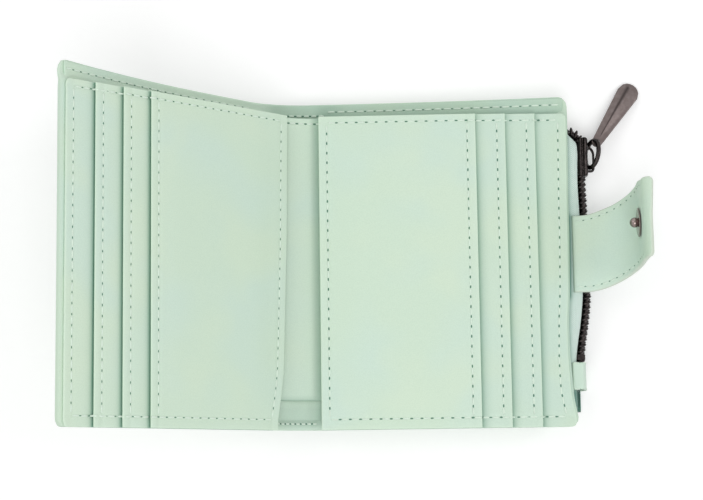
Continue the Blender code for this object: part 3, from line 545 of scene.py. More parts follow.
def finishes() -> dict[str, tuple[bpy.types.Material, Slot]]:
    """Make every finish of the wallet once.

    Returns:
        Materials and the slots that they stand for, by the maker's word for them.
    """
    tones = dict(tone=(0.648, 0.795, 0.650), cool=(0.636, 0.790, 0.680), warm=(0.672, 0.808, 0.648),
                 crease=(0.120, 0.290, 0.205))
    # The third tape tone is the colour of painted shade.
    tape_tones = ((0.86, 0.94, 0.90), (0.50, 0.72, 0.63), (0.085, 0.25, 0.19))
    nickel_tones = ((0.240, 0.190, 0.175), (0.330, 0.280, 0.260))
    made = {
        "leather": (Leather("mint_leather", edge=(0.70, 0.86, 0.70), **tones), Slot.LEATHER),
        "tab": (Leather("mint_leather_tab", edge=(0.66, 0.70, 0.60), **tones), Slot.LEATHER),
        "lining": (Leather("mint_leather_lining", edge=(0.60, 0.78, 0.64), roughness=0.6, grain=0.2,
                           tone=(0.640, 0.790, 0.645), cool=(0.625, 0.782, 0.668), warm=(0.66, 0.80, 0.64),
                           crease=(0.10, 0.26, 0.18)), Slot.LINING),
        "thread": (Thread("mint_thread", (0.78, 0.91, 0.79), (0.52, 0.68, 0.56)), Slot.LEATHER),
        # Painted shade colour for the needle holes.
        "hole": (Leather("hole_shade", tone=(0.130, 0.262, 0.185), cool=(0.120, 0.250, 0.185),
                         warm=(0.140, 0.270, 0.180), crease=(0.06, 0.12, 0.09), edge=(0.2, 0.33, 0.25),
                         roughness=0.9), Slot.LEATHER),
        "coin": (Plainweave("coin_lining_fabric", (0.50, 0.69, 0.58), (0.33, 0.50, 0.41)), Slot.COIN),
        "tape": (Weave("zip_tape_weave", *tape_tones), Slot.TAPE),
        "dark": (Metal("gunmetal", (0.030, 0.026, 0.026), (0.060, 0.050, 0.048), 0.26), Slot.DARK),
        "pull": (Metal("pull_metal", (0.150, 0.122, 0.117), (0.185, 0.155, 0.150), 0.42, 0.16), Slot.NICKEL),
        "nickel": (Metal("dark_nickel", *nickel_tones, 0.16, 0.05), Slot.NICKEL),
    }
    return {word: (finish.make(), slot) for word, (finish, slot) in made.items()}


# Meshes

@dataclass
class Maker:
    """Turns arrays of points into dressed pieces of the model."""

    paints: dict[str, tuple[bpy.types.Material, Slot]]

    def piece(self, name: str, points: Array, faces: Array, paint: str,
              numbers: dict[str, Array] | None = None, uv: Array | None = None) -> bpy.types.Object:
        """New mesh object from points and quads or triangles.

        Args:
            name: Name of the piece.
            points: Points in the fold frame, in millimetres, shape (n, 3).
            faces: Corner indices, shape (m, 4); a triangle repeats its last corner.
            paint: Name of the finish.
            numbers: Values per point that the finish reads.
            uv: Values per point, shape (n, 2), in millimetres.

        Returns:
            The object, with its place in its mesh and its faces outwards.
        """
        place = (np.asarray(points).reshape(-1, 3) + TO_MODEL) * MM
        quads = np.asarray(faces).reshape(-1, 4)
        a, b, c, d = (place[quads[:, k]] for k in range(4))
        volume = (np.einsum("ij,ij->i", a, np.cross(b, c)) + np.einsum("ij,ij->i", a, np.cross(c, d))).sum()
        if volume < 0:
            quads = quads[:, ::-1]
        triangle = (quads[:, 2] == quads[:, 3]) | (quads[:, 0] == quads[:, 1])
        keep = np.ones(quads.shape, bool)
        keep[quads[:, 2] == quads[:, 3], 3] = False
        keep[quads[:, 0] == quads[:, 1], 0] = False
        loops = quads[keep]
        counts = np.where(triangle, 3, 4)
        mesh = bpy.data.meshes.new(name)
        mesh.vertices.add(len(place))
        mesh.vertices.foreach_set("co", place.astype(np.float32).ravel())
        mesh.loops.add(len(loops))
        mesh.loops.foreach_set("vertex_index", loops.astype(np.int32))
        mesh.polygons.add(len(quads))
        starts = np.concatenate([[0], np.cumsum(counts)[:-1]])
        mesh.polygons.foreach_set("loop_start", starts.astype(np.int32))
        mesh.update(calc_edges=True)
        for key, values in (numbers or {}).items():
            mesh.attributes.new(key, "FLOAT", "POINT").data.foreach_set(
                "value", np.asarray(values, np.float32).ravel())
        if uv is not None:
            layer = mesh.uv_layers.new(name="UVMap")
            layer.data.foreach_set("uv", np.asarray(uv).reshape(-1, 2)[loops].astype(np.float32).ravel())
        mesh.shade_smooth()
        material, slot = self.paints[paint]
        mesh.materials.append(material)
        obj = bpy.data.objects.new(name, mesh)
        bpy.context.scene.collection.objects.link(obj)
        LOG.info("%s: %d faces", name, len(quads))
        return obj

    def slab(self, name: str, top: Array, bottom: Array, paint: str, roundness: float = 0.5,
             crease: Array | None = None, edge: float = 0.5) -> bpy.types.Object:
        """Closed sheet between two grids, with rounded borders.

        The half thickness at a point is the half distance of the two grids times
        sqrt(1 - (1 - d / r)^2), where d is the distance from the border and r the rounding radius.

        Args:
            name: Name of the piece.
            top: Upper grid, shape (u, v, 3).
            bottom: Lower grid of the same shape.
            paint: Name of the finish.
            roundness: Radius of the border as a share of the thickness.
            crease: Painted shade per grid point of the upper face.
            edge: Strength of the edge tone.

        Returns:
            The object.
        """
        rows, columns = top.shape[:2]
        middle, half = (top + bottom) / 2, (top - bottom) / 2
        thick = np.linalg.norm(top - bottom, axis=-1)
        away = edge_distance(top)
        fall = np.clip(away / np.maximum(thick * roundness, 1e-6), 0.0, 1.0)
        full = np.sqrt(np.maximum(0.0, 1.0 - (1.0 - fall) ** 2))[..., None]
        upper, lower = middle + half * full, middle - half * full
        index = np.arange(rows * columns).reshape(rows, columns)
        under = index.copy()
        under[1:-1, 1:-1] = rows * columns + np.arange((rows - 2) * (columns - 2)).reshape(rows - 2, -1)
        points = np.concatenate([upper.reshape(-1, 3), lower[1:-1, 1:-1].reshape(-1, 3)])
        faces = np.concatenate([quad_faces(index), quad_faces(under)[:, ::-1]])
        tone = edge * (1.0 - ease(away / 0.7))
        shade = np.zeros((rows, columns)) if crease is None else crease
        inner = np.zeros((rows - 2, columns - 2))
        uv = np.stack([run_lengths(top, 0), run_lengths(top, 1)], axis=-1)
        numbers = {"crease": np.concatenate([shade.ravel(), inner.ravel()]),
                   "edge": np.concatenate([tone.ravel(), tone[1:-1, 1:-1].ravel()])}
        return self.piece(name, points, faces, paint, numbers,
                          np.concatenate([uv.reshape(-1, 2), uv[1:-1, 1:-1].reshape(-1, 2)]))

    def shell(self, name: str, grid: Array, paint: str, poles: bool = True, loop: bool = False,
              crease: Array | None = None) -> bpy.types.Object:
        """Closed surface from rings of points.

        Args:
            name: Name of the piece.
            grid: Rings, shape (rings, around, 3).
            paint: Name of the finish.
            poles: Close the first and last ring, each at its mean point.
            loop: Join the last ring to the first.
            crease: Painted shade per grid point.

        Returns:
            The object.
        """
        points, faces = ring_surface(grid, poles, loop)
        shade = np.zeros(len(points))
        if crease is not None:
            shade[:crease.size] = crease.ravel()
        return self.piece(name, points, faces, paint, {"crease": shade})

    def repeated(self, name: str, shape: tuple[Array, Array], centres: Array,
                 axes: tuple[Array, Array, Array], paint: str) -> bpy.types.Object:
        """One small closed shape repeated at many places, as a single mesh.

        Each point is centre + x * first axis + y * second axis + z * third axis.

        Args:
            name: Name of the piece.
            shape: Points and faces of the small shape.
            centres: Places, shape (n, 3).
            axes: Three arrays of shape (n, 3), whose lengths scale the shape.
            paint: Name of the finish.

        Returns:
            The object.
        """
        points, faces = shape
        placed = centres[:, None, :] + sum(points[None, :, k, None] * axes[k][:, None, :] for k in range(3))
        shift = (np.arange(len(centres)) * len(points))[:, None, None]
        uv = np.tile(np.stack([points[:, 0], np.arctan2(points[:, 2], points[:, 1]) / 3], axis=1),
                     (len(centres), 1))
        return self.piece(name, placed, faces[None] + shift, paint, uv=uv)


def quad_faces(index: Array) -> Array:
    """Quads between neighbouring entries of a grid of indices."""
    return np.stack([index[:-1, :-1], index[1:, :-1], index[1:, 1:], index[:-1, 1:]], axis=-1).reshape(-1, 4)


def ring_surface(grid: Array, poles: bool = True, loop: bool = False) -> tuple[Array, Array]:
    """Points and faces of rings joined in order, closed round each ring.

    Args:
        grid: Rings, shape (rings, around, 3).
        poles: Add the mean point of the first and last ring and fan it in.
        loop: Join the last ring to the first.

    Returns:
        Points and faces.
    """
    rings, around = grid.shape[:2]
    index = np.arange(rings * around).reshape(rings, around)
    index = np.concatenate([index, index[:, :1]], axis=1)
    if loop:
        index = np.concatenate([index, index[:1]])
    points, faces = grid.reshape(-1, 3), quad_faces(index)
    if poles and not loop:
        points = np.concatenate([points, grid[0].mean(0)[None], grid[-1].mean(0)[None]])
        for pole, here, there in ((rings * around, index[0, :-1], index[0, 1:]),
                                  (rings * around + 1, index[-1, 1:], index[-1, :-1])):
            faces = np.concatenate([faces, np.stack([np.full(around, pole), here, there, there], axis=1)])
    return points, faces


def bean(rings: int = 5, around: int = 8, power: float = 0.6) -> tuple[Array, Array]:
    """Small rounded capsule of half length 1 along x and radius 1.

    Ring k stands at x = cos(a) and has radius sin(a)^power, with a from 0 to pi.

    Args:
        rings: Rings between the two ends.
        around: Points round each ring.
        power: Below 1 the ends are blunter.

    Returns:
        Points and faces.
    """
    angle = np.linspace(0.0, math.pi, rings + 2)[1:-1]
    turn = circle(around)
    radius = np.sin(angle) ** power
    grid = np.stack([np.broadcast_to(np.cos(angle)[:, None], (rings, around)),
                     radius[:, None] * np.cos(turn), radius[:, None] * np.sin(turn)], axis=-1)
    points, faces = ring_surface(grid)
    points[-2], points[-1] = (1.0, 0.0, 0.0), (-1.0, 0.0, 0.0)
    return points, faces


@dataclass(frozen=True)
class Layout:
    """Sizes that the two halves share, and the surfaces that follow from them."""

    panel_inner: float = 6.8
    panel_outer: float = 82.4
    mouths: Point = (54.8, 63.9, 73.0)
    bottom: float = -48.3
    top: float = 47.3
    cover_top: float = 53.0
    cover_edge: float = 83.5
    wall_edge: float = 83.4
    corner: float = 3.0
    level: float = 0.75
    pinch: float = 3.85
    left_gape: tuple[float, float] = (7.0, 20.0)
    right_gape: tuple[float, float] = (4.6, 2.0)
    axis_height: float = 0.4
    angle: float = math.radians(45.6)
    cover_step: float = 0.7
    wall_step: float = 0.62
    left_start: float = 8.0
    right_start: float = 4.0
    wall_thick: float = 0.52
    cover_thick: float = 1.0
    flat_depth: float = 15.1
    lowest: float = 16.1
    chain_depth: float = 11.35
    pocket_clearance: float = 1.2
    margin: float = 8.5
    waist_y: Places = (-48.3, -46.4, -44.0, -40.5, -34.5, -28.5, -24.0, -16.5, -8.0, 10.0, 20.0, 35.0, 47.0)
    waist_x: Places = (1.1, 1.1, 0.6, -0.2, -0.55, -1.0, -1.15, -1.2, -0.65, -0.25, -0.25, 0.0, 0.2)

    def gape(self, half: Half, s: Array, y: Array) -> Array:
        """Depth of the note compartment's wall: pinch + amount * (1 - along^2) * rise^1.5.

        Args:
            half: Half of the wallet.
            s: Places along the half.
            y: Heights.

        Returns:
            Depths; the wall is deepest at the peak and at the top.
        """
        amount, peak = self.left_gape if half is Half.LEFT else self.right_gape
        along = np.maximum(0.0, s - peak) / (self.panel_outer - peak)
        rise = np.maximum(0.0, y - self.bottom) / (self.cover_top - self.bottom)
        return self.pinch + amount * np.maximum(0.0, 1.0 - along ** 2) * rise ** 1.5

    def pocket_wall(self, s: Array, y: Array) -> Array:
        """Depth in the coin pocket that clears the note wall."""
        return self.gape(Half.RIGHT, s, y) + self.pocket_clearance

    def pillow(self, s: Array, y: Array, rim: Array, flat: Array | float, inset: float) -> Array:
        """Depth that goes from the rim to the flat back over the margin, by a smooth step.

        Args:
            s: Places along the right half.
            y: Heights.
            rim: Depths at the border.
            flat: Depth inside the margin.
            inset: Distance of the border from the cover's.

        Returns:
            Depths.
        """
        reach = np.maximum(0.0, 1.0 - (s - self.right_start - inset) / self.margin)
        near = np.minimum(y - self.bottom, self.cover_top - y) - inset
        bulge = ease(1.0 - np.hypot(reach, np.maximum(0.0, 1.0 - near / self.margin)))
        return rim + (flat - rim) * bulge

    def put(self, half: Half, s: Array | float, y: Array | float, depth: Array | float) -> Array:
        """Points of a half from its own measures; the left half is turned up about the fold line.

        Args:
            half: Half of the wallet.
            s: Places along the half.
            y: Heights.
            depth: Depths below the pocket face.

        Returns:
            Points in the fold frame, with a last axis of 3.
        """
        s, y, depth = np.broadcast_arrays(s, y, depth)
        if half is Half.RIGHT:
            return np.stack([s, y, -depth], axis=-1)
        drop = depth + self.axis_height
        return np.stack([-(s * math.cos(self.angle) + drop * math.sin(self.angle)), y,
                         self.axis_height + s * math.sin(self.angle) - drop * math.cos(self.angle)], axis=-1)

    def normal(self, half: Half) -> Array:
        """Direction that the card panels of a half face."""
        turn = self.angle if half is Half.LEFT else 0.0
        return np.array([math.sin(turn), 0.0, math.cos(turn)])

    def cut(self, y: Array, low: float, high: float, radius: float) -> Array:
        """How far a rounded corner draws the fore edge in: r - sqrt(r^2 - (r - reach)^2)."""
        reach = np.clip(np.minimum(y - low, high - y), 0.0, radius)
        return radius - np.sqrt(np.maximum(0.0, radius ** 2 - (radius - reach) ** 2))

    def waist(self, y: Array) -> Array:
        """How far the worn fore edge of the right half stands out or in at a height."""
        return sum(np.interp(y + k, self.waist_y, self.waist_x) for k in (-2.0, -1.0, 0.0, 1.0, 2.0)) / 5

    def model(self, point: Array) -> Point:
        """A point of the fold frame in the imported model's frame, in metres."""
        return tuple((np.asarray(point) + TO_MODEL) * MM)


@dataclass
class Seams:
    """Rows of stitches: raised threads, with a small dark bean of painted shade for the needle hole between
    each two.
    """

    pitch: float = 3.0
    half_length: float = 1.1
    half_width: float = 0.30
    half_height: float = 0.20
    hole_length: float = 0.44
    hole_width: float = 0.25
    hole_height: float = 0.09
    hole_lift: float = 0.03

    def sew(self, maker: Maker, name: str, rows: Iterable[tuple[Array, Array]], body: Body | None,
            pitch: float | None = None, dark: float = 1.0) -> list[bpy.types.Object]:
        """Stitches, and beans of painted shade for the needle holes, along several rows.

        Args:
            maker: Maker that turns arrays into pieces.
            name: Name of the seams.
            rows: Pairs of a path, shape (n, 3), and the outward normals along it, or one for all of it.
            body: Body that the seams ride on, or None where the caller fixes them in place.
            pitch: Distance between stitches, if not the usual one.
            dark: Scale of the painted shade beans of the needle holes.

        Returns:
            The two objects.
        """
        step = pitch or self.pitch
        scale = step / self.pitch
        stitches, holes = [], []
        for path, normals in rows:
            at, along = resample(path, step)
            nearest = np.linalg.norm(path[None] - at[:, None], axis=-1).argmin(1)
            facing = np.broadcast_to(normals, path.shape)[nearest]
            out = unit(facing - along * np.sum(facing * along, axis=1, keepdims=True))
            stitches.append((at, along, out))
            holes.append(((at[1:] + at[:-1]) / 2, along[1:], out[1:]))
        pieces = []
        # Threads, then small dark beans of painted shade for the needle holes.
        for kind, sets, size, lift, paint in (
                ("threads", stitches, (self.half_length * scale, self.half_width, self.half_height),
                 self.half_height * 0.3, "thread"),
                ("hole_shades", holes, (self.hole_length * dark, self.hole_width * dark, self.hole_height),
                 self.hole_lift, "hole")):
            at, along, out = (np.concatenate([row[k] for row in sets]) for k in range(3))
            side = np.cross(out, along)
            axes = (along * size[0], side * size[1], out * size[2])
            piece = maker.repeated(f"{name}_{kind}", bean(5, 8, 0.5), at + out * lift, axes, paint)
            if body is not None:
                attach(piece, body.value)
            pieces.append(piece)
        return pieces


@dataclass
class Part:
    """Part of the wallet, with the sizes that it shares and the maker of its pieces."""

    layout: Layout
    maker: Maker


@dataclass
class CardSide(Part):
    """Card panels of one half: front pocket, two slot panels, base panel and the lining under them."""

    half: Half
    body: Body
    step_u: float = 0.7
    step_v: float = 1.1
    thick: tuple[float, ...] = (0.5, 0.5, 0.5, 0.6)
    groove: float = 0.17
    groove_width: float = 0.55
    hem: float = 0.10
    dip: float = 0.22
    puff: float = 0.25
    row_in: float = 2.6
    inner_row: float = 9.3
    outer_row: float = 79.9
    end_row: float = 45.25
    slot_root: float = 9.9
    outer_corner: float = 1.5
    lining_reach: tuple[float, float] = (8.3, 79.0)
    lining_depth: tuple[float, float] = (2.88, 3.5)
    lining_foot: float = 1.5
    pulled_y: Places = (-48.3, -45.2, -42.5, -39.0, -36.0, -31.0, 8.0, 45.0)
    pulled_x: Places = (1.0, 0.9, 0.5, -0.3, -0.7, -1.45, -3.0, -3.7)
    row_y: Places = (-46.0, -42.0, -40.5, -37.0, -30.0, -20.0, -10.0, 0.0)
    row_x: Places = (-0.5, -0.5, -0.55, -0.85, -0.6, -0.1, 0.0, 0.0)
    # Least painted shade of each right panel, rising outwards.
    right_least_shade: Places = (0.0, 0.035, 0.05, 0.065)

    def inner(self, y: Array) -> Array:
        """Inner edge of the panels; the left half's reaches into the fold, and its foot is drawn back.

        Args:
            y: Heights.

        Returns:
            Places along the half.
        """
        if self.half is Half.RIGHT:
            return self.layout.panel_inner + 0.0 * y
        pull = sum(np.interp(y + k, self.pulled_y, self.pulled_x) for k in (-1.5, 0.0, 1.5)) / 3
        return self.layout.panel_inner + pull

    def inner_seam(self, y: Array) -> Array:
        """Place of the row of stitches that follows the inner edge."""
        return self.inner_row + self.inner(y) - self.layout.panel_inner

    def outer_seam(self, level: int) -> float:
        """Place of the row beside a panel's mouth, or beside the fore edge on the base panel."""
        return self.layout.mouths[level] - self.row_in if level < 3 else self.outer_row

    def warp(self, s: Array, y: Array) -> Array:
        """Place on the panels with the right half's worn fore edge: its shift grows past the outer mouth.

        Args:
            s: Places along the half, before the wear.
            y: Heights.

        Returns:
            Places along the half.
        """
        if self.half is Half.LEFT:
            return s + 0.0 * y
        row = np.interp(y, self.row_y, self.row_x) * ridge(s - self.outer_row, 2.4)
        return s + self.layout.waist(y) * ease((s - 73.5) / 6.0) + row

    def relief(self, level: int, s: Array, y: Array) -> Array:
        """Height of the face above its plane: grooves along the seams, a puffed hem, a dip below a mouth.

        Args:
            level: Number of the panel, 0 for the front pocket.
            s: Places along the half.
            y: Heights.

        Returns:
            Heights.
        """
        rows = [s - self.outer_seam(level), y - self.end_row, y + self.end_row]
        if level == 0:
            rows.append(s - self.inner_seam(y))
        height = sum(-self.groove * ridge(away, self.groove_width) for away in rows)
        if level < 3:
            height = height + self.hem * ridge(s - (self.layout.mouths[level] - self.row_in / 2), 0.9)
        if level > 0:
            return height - self.dip * ridge(s - self.layout.mouths[level - 1], 2.2)
        pillow = ease((s - self.inner_row) / 8) * ease((self.outer_seam(0) - s) / 8)
        return height + self.puff * pillow * ease((self.end_row - np.abs(y)) / 9)

    def depth(self, level: int, s: Array, y: Array) -> Array:
        """Depth of a panel's face."""
        return level * self.layout.level - self.relief(level, s, y)

    def face(self, s: Array, y: Array) -> Array:
        """Depth of whichever panel shows at a place."""
        return np.choose(np.digitize(s, self.layout.mouths), [self.depth(level, s, y) for level in range(4)])

    def mouth_shade(self, level: int, s: Array, y: Array) -> Array:
        """Shade of a panel: dark under the mouth before it and fading as exp(-distance / reach).

        Args:
            level: Number of the panel, 0 for the front pocket.
            s: Places along the half.
            y: Heights.

        Returns:
            Shades from 0 to 1.
        """
        if level == 0:
            return np.zeros(s.shape)
        past = s - self.layout.mouths[level - 1]
        strength, reach, least = 0.9, 0.62, 0.0
        if self.half is Half.RIGHT:
            strength = 0.5 + 0.22 * ease((42.0 - y) / 24.0)
            reach, least = 1.25, self.right_least_shade[level]
        fading = np.where(past > -0.6, np.exp(-np.maximum(past, 0.0) / reach), 1.0)
        return np.maximum(strength * fading, least)

    def build(self) -> None:
        """Make the panels, the lining and their seams."""
        lay = self.layout
        side = self.half.name.lower()
        v = seamed(lay.top - lay.bottom, self.step_v, (-self.end_row - lay.bottom, self.end_row - lay.bottom))
        y = lay.bottom + v[None, :] * (lay.top - lay.bottom)
        for level, name in enumerate(("front_pocket", "slot_panel_inner", "slot_panel_outer", "base_panel")):
            whole = level in (0, 3)
            start = lay.panel_inner if whole else self.slot_root
            inner = self.inner(y) if whole else np.full_like(y, start)
            outer = (lay.mouths[level] if level < 3
                     else lay.panel_outer - lay.cut(y, lay.bottom, lay.top, self.outer_corner))
            seams = [self.outer_seam(level) - start]
            if level == 0:
                seams.append(self.inner_row - start)
            width = outer - start if level == 0 else float(np.mean(outer - inner))
            s = inner + seamed(width, self.step_u, seams)[:, None] * (outer - inner)
            depth = self.depth(level, s, y)
            s = self.warp(s, y)
            under = level * lay.level + self.thick[level]
            piece = self.maker.slab(f"{side}_{name}_skin", lay.put(self.half, s, y, depth),
                                    lay.put(self.half, s, y, under), "leather", 0.42,
                                    self.mouth_shade(level, s, y), 0.7)
            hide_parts(f"{side}_{name}")
            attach(piece, self.body.value)
        self.lining()
        self.seams()

    def lining(self) -> None:
        """Lining on the underside of the base panel, which faces the note compartment."""
        lay = self.layout
        side = self.half.name.lower()
        low = lay.bottom + self.lining_foot
        s = spread(*self.lining_reach, 1.5)[:, None]
        y = low + stations(94.0, self.step_v)[None, :] * (lay.top - low)
        top, bottom = (lay.put(self.half, s, y, depth) for depth in self.lining_depth)
        piece = self.maker.slab(f"{side}_note_lining_skin", top, bottom, "lining")
        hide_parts(f"{side}_note_lining")
        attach(piece, self.body.value)

    def seams(self) -> None:
        """Sew the inner, mouth, outer and end rows."""
        lay = self.layout
        run = np.linspace(-self.end_row + 0.4, self.end_row - 0.4, 220)
        rows = [(self.inner_seam(run), run)]
        rows += [(self.outer_seam(level) + 0 * run, run) for level in range(4)]
        for y in (self.end_row, -self.end_row):
            s = np.linspace(self.inner_seam(np.array([y]))[0], self.outer_row, 260)
            rows.append((s, np.full(260, y)))
        paths = [(lay.put(self.half, self.warp(s, y), y, self.face(s, y)), lay.normal(self.half))
                 for s, y in rows]
        dark = 0.75 if self.half is Half.LEFT else 1.0
        Seams().sew(self.maker, f"{self.half.name.lower()}_card_seams", paths, self.body, dark=dark)


@dataclass
class Cover(Part):
    """Outer leather from the left fore edge over the spine to the note wall, its lining and its seams."""

    top_row: float = 50.4
    foot_row: float = -46.5
    head_row: float = 49.1
    fore_row: float = 79.9
    foot_corner: float = 2.0
    left_lift: float = 1.62
    right_lift: float = 1.55
    step_v: float = 1.2
    spine_steps: int = 22
    lining_edge: float = 79.2
    lining_thick: float = 0.62
    fold_reach: tuple[float, float] = (-39.4, 47.2)
    fold_depth: float = 2.9
    fold_thick: float = 0.5
    fold_row: float = 45.0

    def section(self, y: Array, left_s: Array, right_s: Array, face: Callable[[Half, Array, Array], Array],
                ends: tuple[float, float], steps: int) -> Array:
        """Grid from the left fore edge to the right one.

        The spine is a cubic between the halves that leaves and arrives along their faces.

        Args:
            y: Heights, shape (1, v).
            left_s: Places on the left half from its fore edge inwards, shape (a, v).
            right_s: Places on the right half outwards, shape (b, v).
            face: Depth at a place of a half.
            ends: Place where the spine leaves the left half and place where it meets the right one.
            steps: Steps across the spine.

        Returns:
            Points of shape (a + steps - 1 + b, v, 3).
        """
        lay = self.layout
        left, right = (lay.put(half, s, y, face(half, s, y))
                       for half, s in ((Half.LEFT, left_s), (Half.RIGHT, right_s)))
        start, end = (lay.put(half, s, y[0], face(half, s, y[0]))[None]
                      for half, s in zip((Half.LEFT, Half.RIGHT), ends))
        leave = np.array([math.cos(lay.angle), 0.0, -math.sin(lay.angle)])
        arrive = np.array([1.0, 0.0, 0.0])
        t = np.linspace(0.0, 1.0, steps + 1)[1:-1, None, None]
        pull = np.linalg.norm(end - start, axis=-1, keepdims=True)
        middle = (start * (2 * t ** 3 - 3 * t ** 2 + 1) + leave * pull * (t ** 3 - 2 * t ** 2 + t)
                  + end * (3 * t ** 2 - 2 * t ** 3) + arrive * pull * (t ** 3 - t ** 2))
        return np.concatenate([left, middle, right])

    def lift(self, half: Half, s: Array, y: Array) -> Array:
        """How far the leather of a half is turned up at its sewn edges, to meet the panels.

        Args:
            half: Half of the wallet.
            s: Places along the half.
            y: Heights.

        Returns:
            Heights of the turned-up leather, greatest at the foot and at the fore edge.
        """
        fore = ease((s - 78.0) / 3.2) * ease((49.5 - y) / 3.0)
        foot = ease((-44.0 - y) / 3.0)
        return (self.left_lift if half is Half.LEFT else self.right_lift) * np.maximum(fore, foot)

    def leather_face(self, half: Half, s: Array, y: Array) -> Array:
        """Depth of the leather's inner face."""
        step = self.layout.cover_step if half is Half.LEFT else self.layout.wall_step
        return self.layout.gape(half, s, y) + step - self.lift(half, s, y)

    def lining_face(self, half: Half, s: Array, y: Array) -> Array:
        """Depth of the lining's face, with a groove along the upper row of stitches."""
        return self.layout.gape(half, s, y) + 0.1 * ridge(y - self.top_row, 0.6)

    def fold_face(self, half: Half, s: Array, y: Array) -> Array:
        """Depth of the lining inside the fold, the same on both halves; it dips at its foot."""
        return self.fold_depth + 0 * s * y + 0.35 * ridge(y - self.fold_reach[0], 1.3)

    def build(self) -> None:
        """Make the outer leather, the lining inside it and the seams."""
        lay = self.layout
        v = stations(lay.cover_top - lay.bottom, self.step_v)
        y = lay.bottom + v[None, :] * (lay.cover_top - lay.bottom)
        cut = lay.cut(y, lay.bottom, lay.cover_top, lay.corner)
        left_cut = np.where(y < 0, lay.cut(y, lay.bottom, lay.cover_top, self.foot_corner), cut)
        u = stations(lay.cover_edge - lay.left_start, 1.0)[:-3, None]
        left_s = (lay.cover_edge - left_cut) + u * (lay.left_start - lay.cover_edge + left_cut)
        u = stations(lay.wall_edge - lay.right_start, 1.0)[3:, None]
        edge = lay.wall_edge - 0.4 + lay.waist(y) - cut
        right_s = lay.right_start + u * (edge - lay.right_start)
        top = self.section(y, left_s, right_s, self.leather_face, (lay.left_start, lay.right_start),
                           self.spine_steps)
        thick = np.concatenate([lay.cover_thick + self.lift(Half.LEFT, left_s, y),
                                np.full((self.spine_steps - 1, y.shape[1]), lay.cover_thick),
                                lay.wall_thick + self.lift(Half.RIGHT, right_s, y)])
        bottom = top - grid_normals(top) * thick[..., None]
        above = np.maximum(y - lay.top, 0.0)
        # Painted shade: darker near the spine and on into the right half, though not at the foot, and a faint
        # shade below the panels' top edge that fades above it.
        fold = ease((top[..., 0] + 12.0) / 6.0) * (1 - 0.4 * ease((top[..., 0] - 9.0) / 8.0))
        cover_shade = 0.22 * fold * ease((y + 43.0) / 5.0) + 0.10 * np.exp(-above)
        skin = self.maker.slab("cover_leather", top, bottom, "leather", 0.4, cover_shade)
        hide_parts("front_cover", "spine_cover", "note_back_wall")
        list(self.spine_ends())
        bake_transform(skin)
        self.lining(v)
        self.fold_lining()
        self.seams(top, bottom, y, left_s)

    def spine_ends(self) -> tuple[Point, Point]:
        """Where the spine leaves the left half and where it meets the right half.

        Returns:
            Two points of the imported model's frame, in metres and at one height above the floor.
        """
        lay = self.layout
        start, end = (lay.put(half, s, 0.0, lay.gape(half, s, 0.0))
                      for half, s in ((Half.LEFT, lay.left_start), (Half.RIGHT, lay.right_start)))
        return lay.model(start), lay.model(np.array([end[0], end[1], start[2]]))

    def lining(self, v: Array) -> None:
        """Lining inside the cover.

        Args:
            v: Shares of the height at which the grid has its lines.
        """
        lay = self.layout
        low, high = lay.bottom + 1.2, lay.cover_top - 0.5
        left_start, right_start = lay.left_start, lay.right_start + 0.1
        y = low + v[None, :] * (high - low)
        edge = self.lining_edge - 0 * y + 2.6 * ease((y - 46.0) / 3.0)
        u = stations(self.lining_edge - left_start, 1.4)[:-3, None]
        left_s = edge + u * (left_start - edge)
        u = stations(self.lining_edge - right_start, 1.4)[2:, None]
        right_s = right_start + u * (edge - right_start)
        top = self.section(y, left_s, right_s, self.lining_face, (7.9, 3.7), self.spine_steps)
        fold = ease((top[..., 0] + 12.0) / 6.0) * (1 - 0.5 * ease((top[..., 0] - 9.0) / 8.0))
        above = np.maximum(y - lay.top, 0.0)
        shade = (0.3 * fold * ease((y - 46.0) / 2.0) + 0.12 * ease((-40.0 - y) / 2.0)
                 + 0.34 * ease((top[..., 0] - 4.0) / 4.0) * np.exp(-above / 3.0))
        bottom = top - grid_normals(top) * self.lining_thick
        piece = self.maker.slab("cover_lining", top, bottom, "lining", 0.45, shade)
        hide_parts("front_cover_lining", "spine_cover_lining")
        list(self.spine_ends())
        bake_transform(piece)

    def fold_lining(self) -> None:
        """Separate lining inside the fold between the panels, with its row of stitches."""
        low, high = self.fold_reach
        y = spread(low, high, self.step_v)[None, :]
        left_s = np.linspace(11.0, 8.2, 6)[:, None] + 0 * y
        top = self.section(y, left_s, left_s[::-1], self.fold_face, (8.0, 8.0), 26)
        beside = ease((top[..., 0] - 3.6) / 3.2)
        shade = np.maximum(0.5 * np.exp(-(y - low) / 0.5), 0.42 * beside)
        normals = grid_normals(top)
        piece = self.maker.slab("fold_lining", top, top - normals * self.fold_thick, "lining", 0.45,
                                shade)
        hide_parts("spine_lining")
        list(self.spine_ends())
        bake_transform(piece)
        column = nearest_index(y[0], self.fold_row)
        self.sew_spine("fold_lining_seam", top[3:-5, column], normals[3:-5, column], 2.6)

    def sew_spine(self, name: str, path: Array, normals: Array, pitch: float) -> None:
        """Sew a row across the spine, along a path with its outward normals."""
        for piece in Seams().sew(self.maker, name, [(path, normals)], None, pitch=pitch):
            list(self.spine_ends())
            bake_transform(piece)

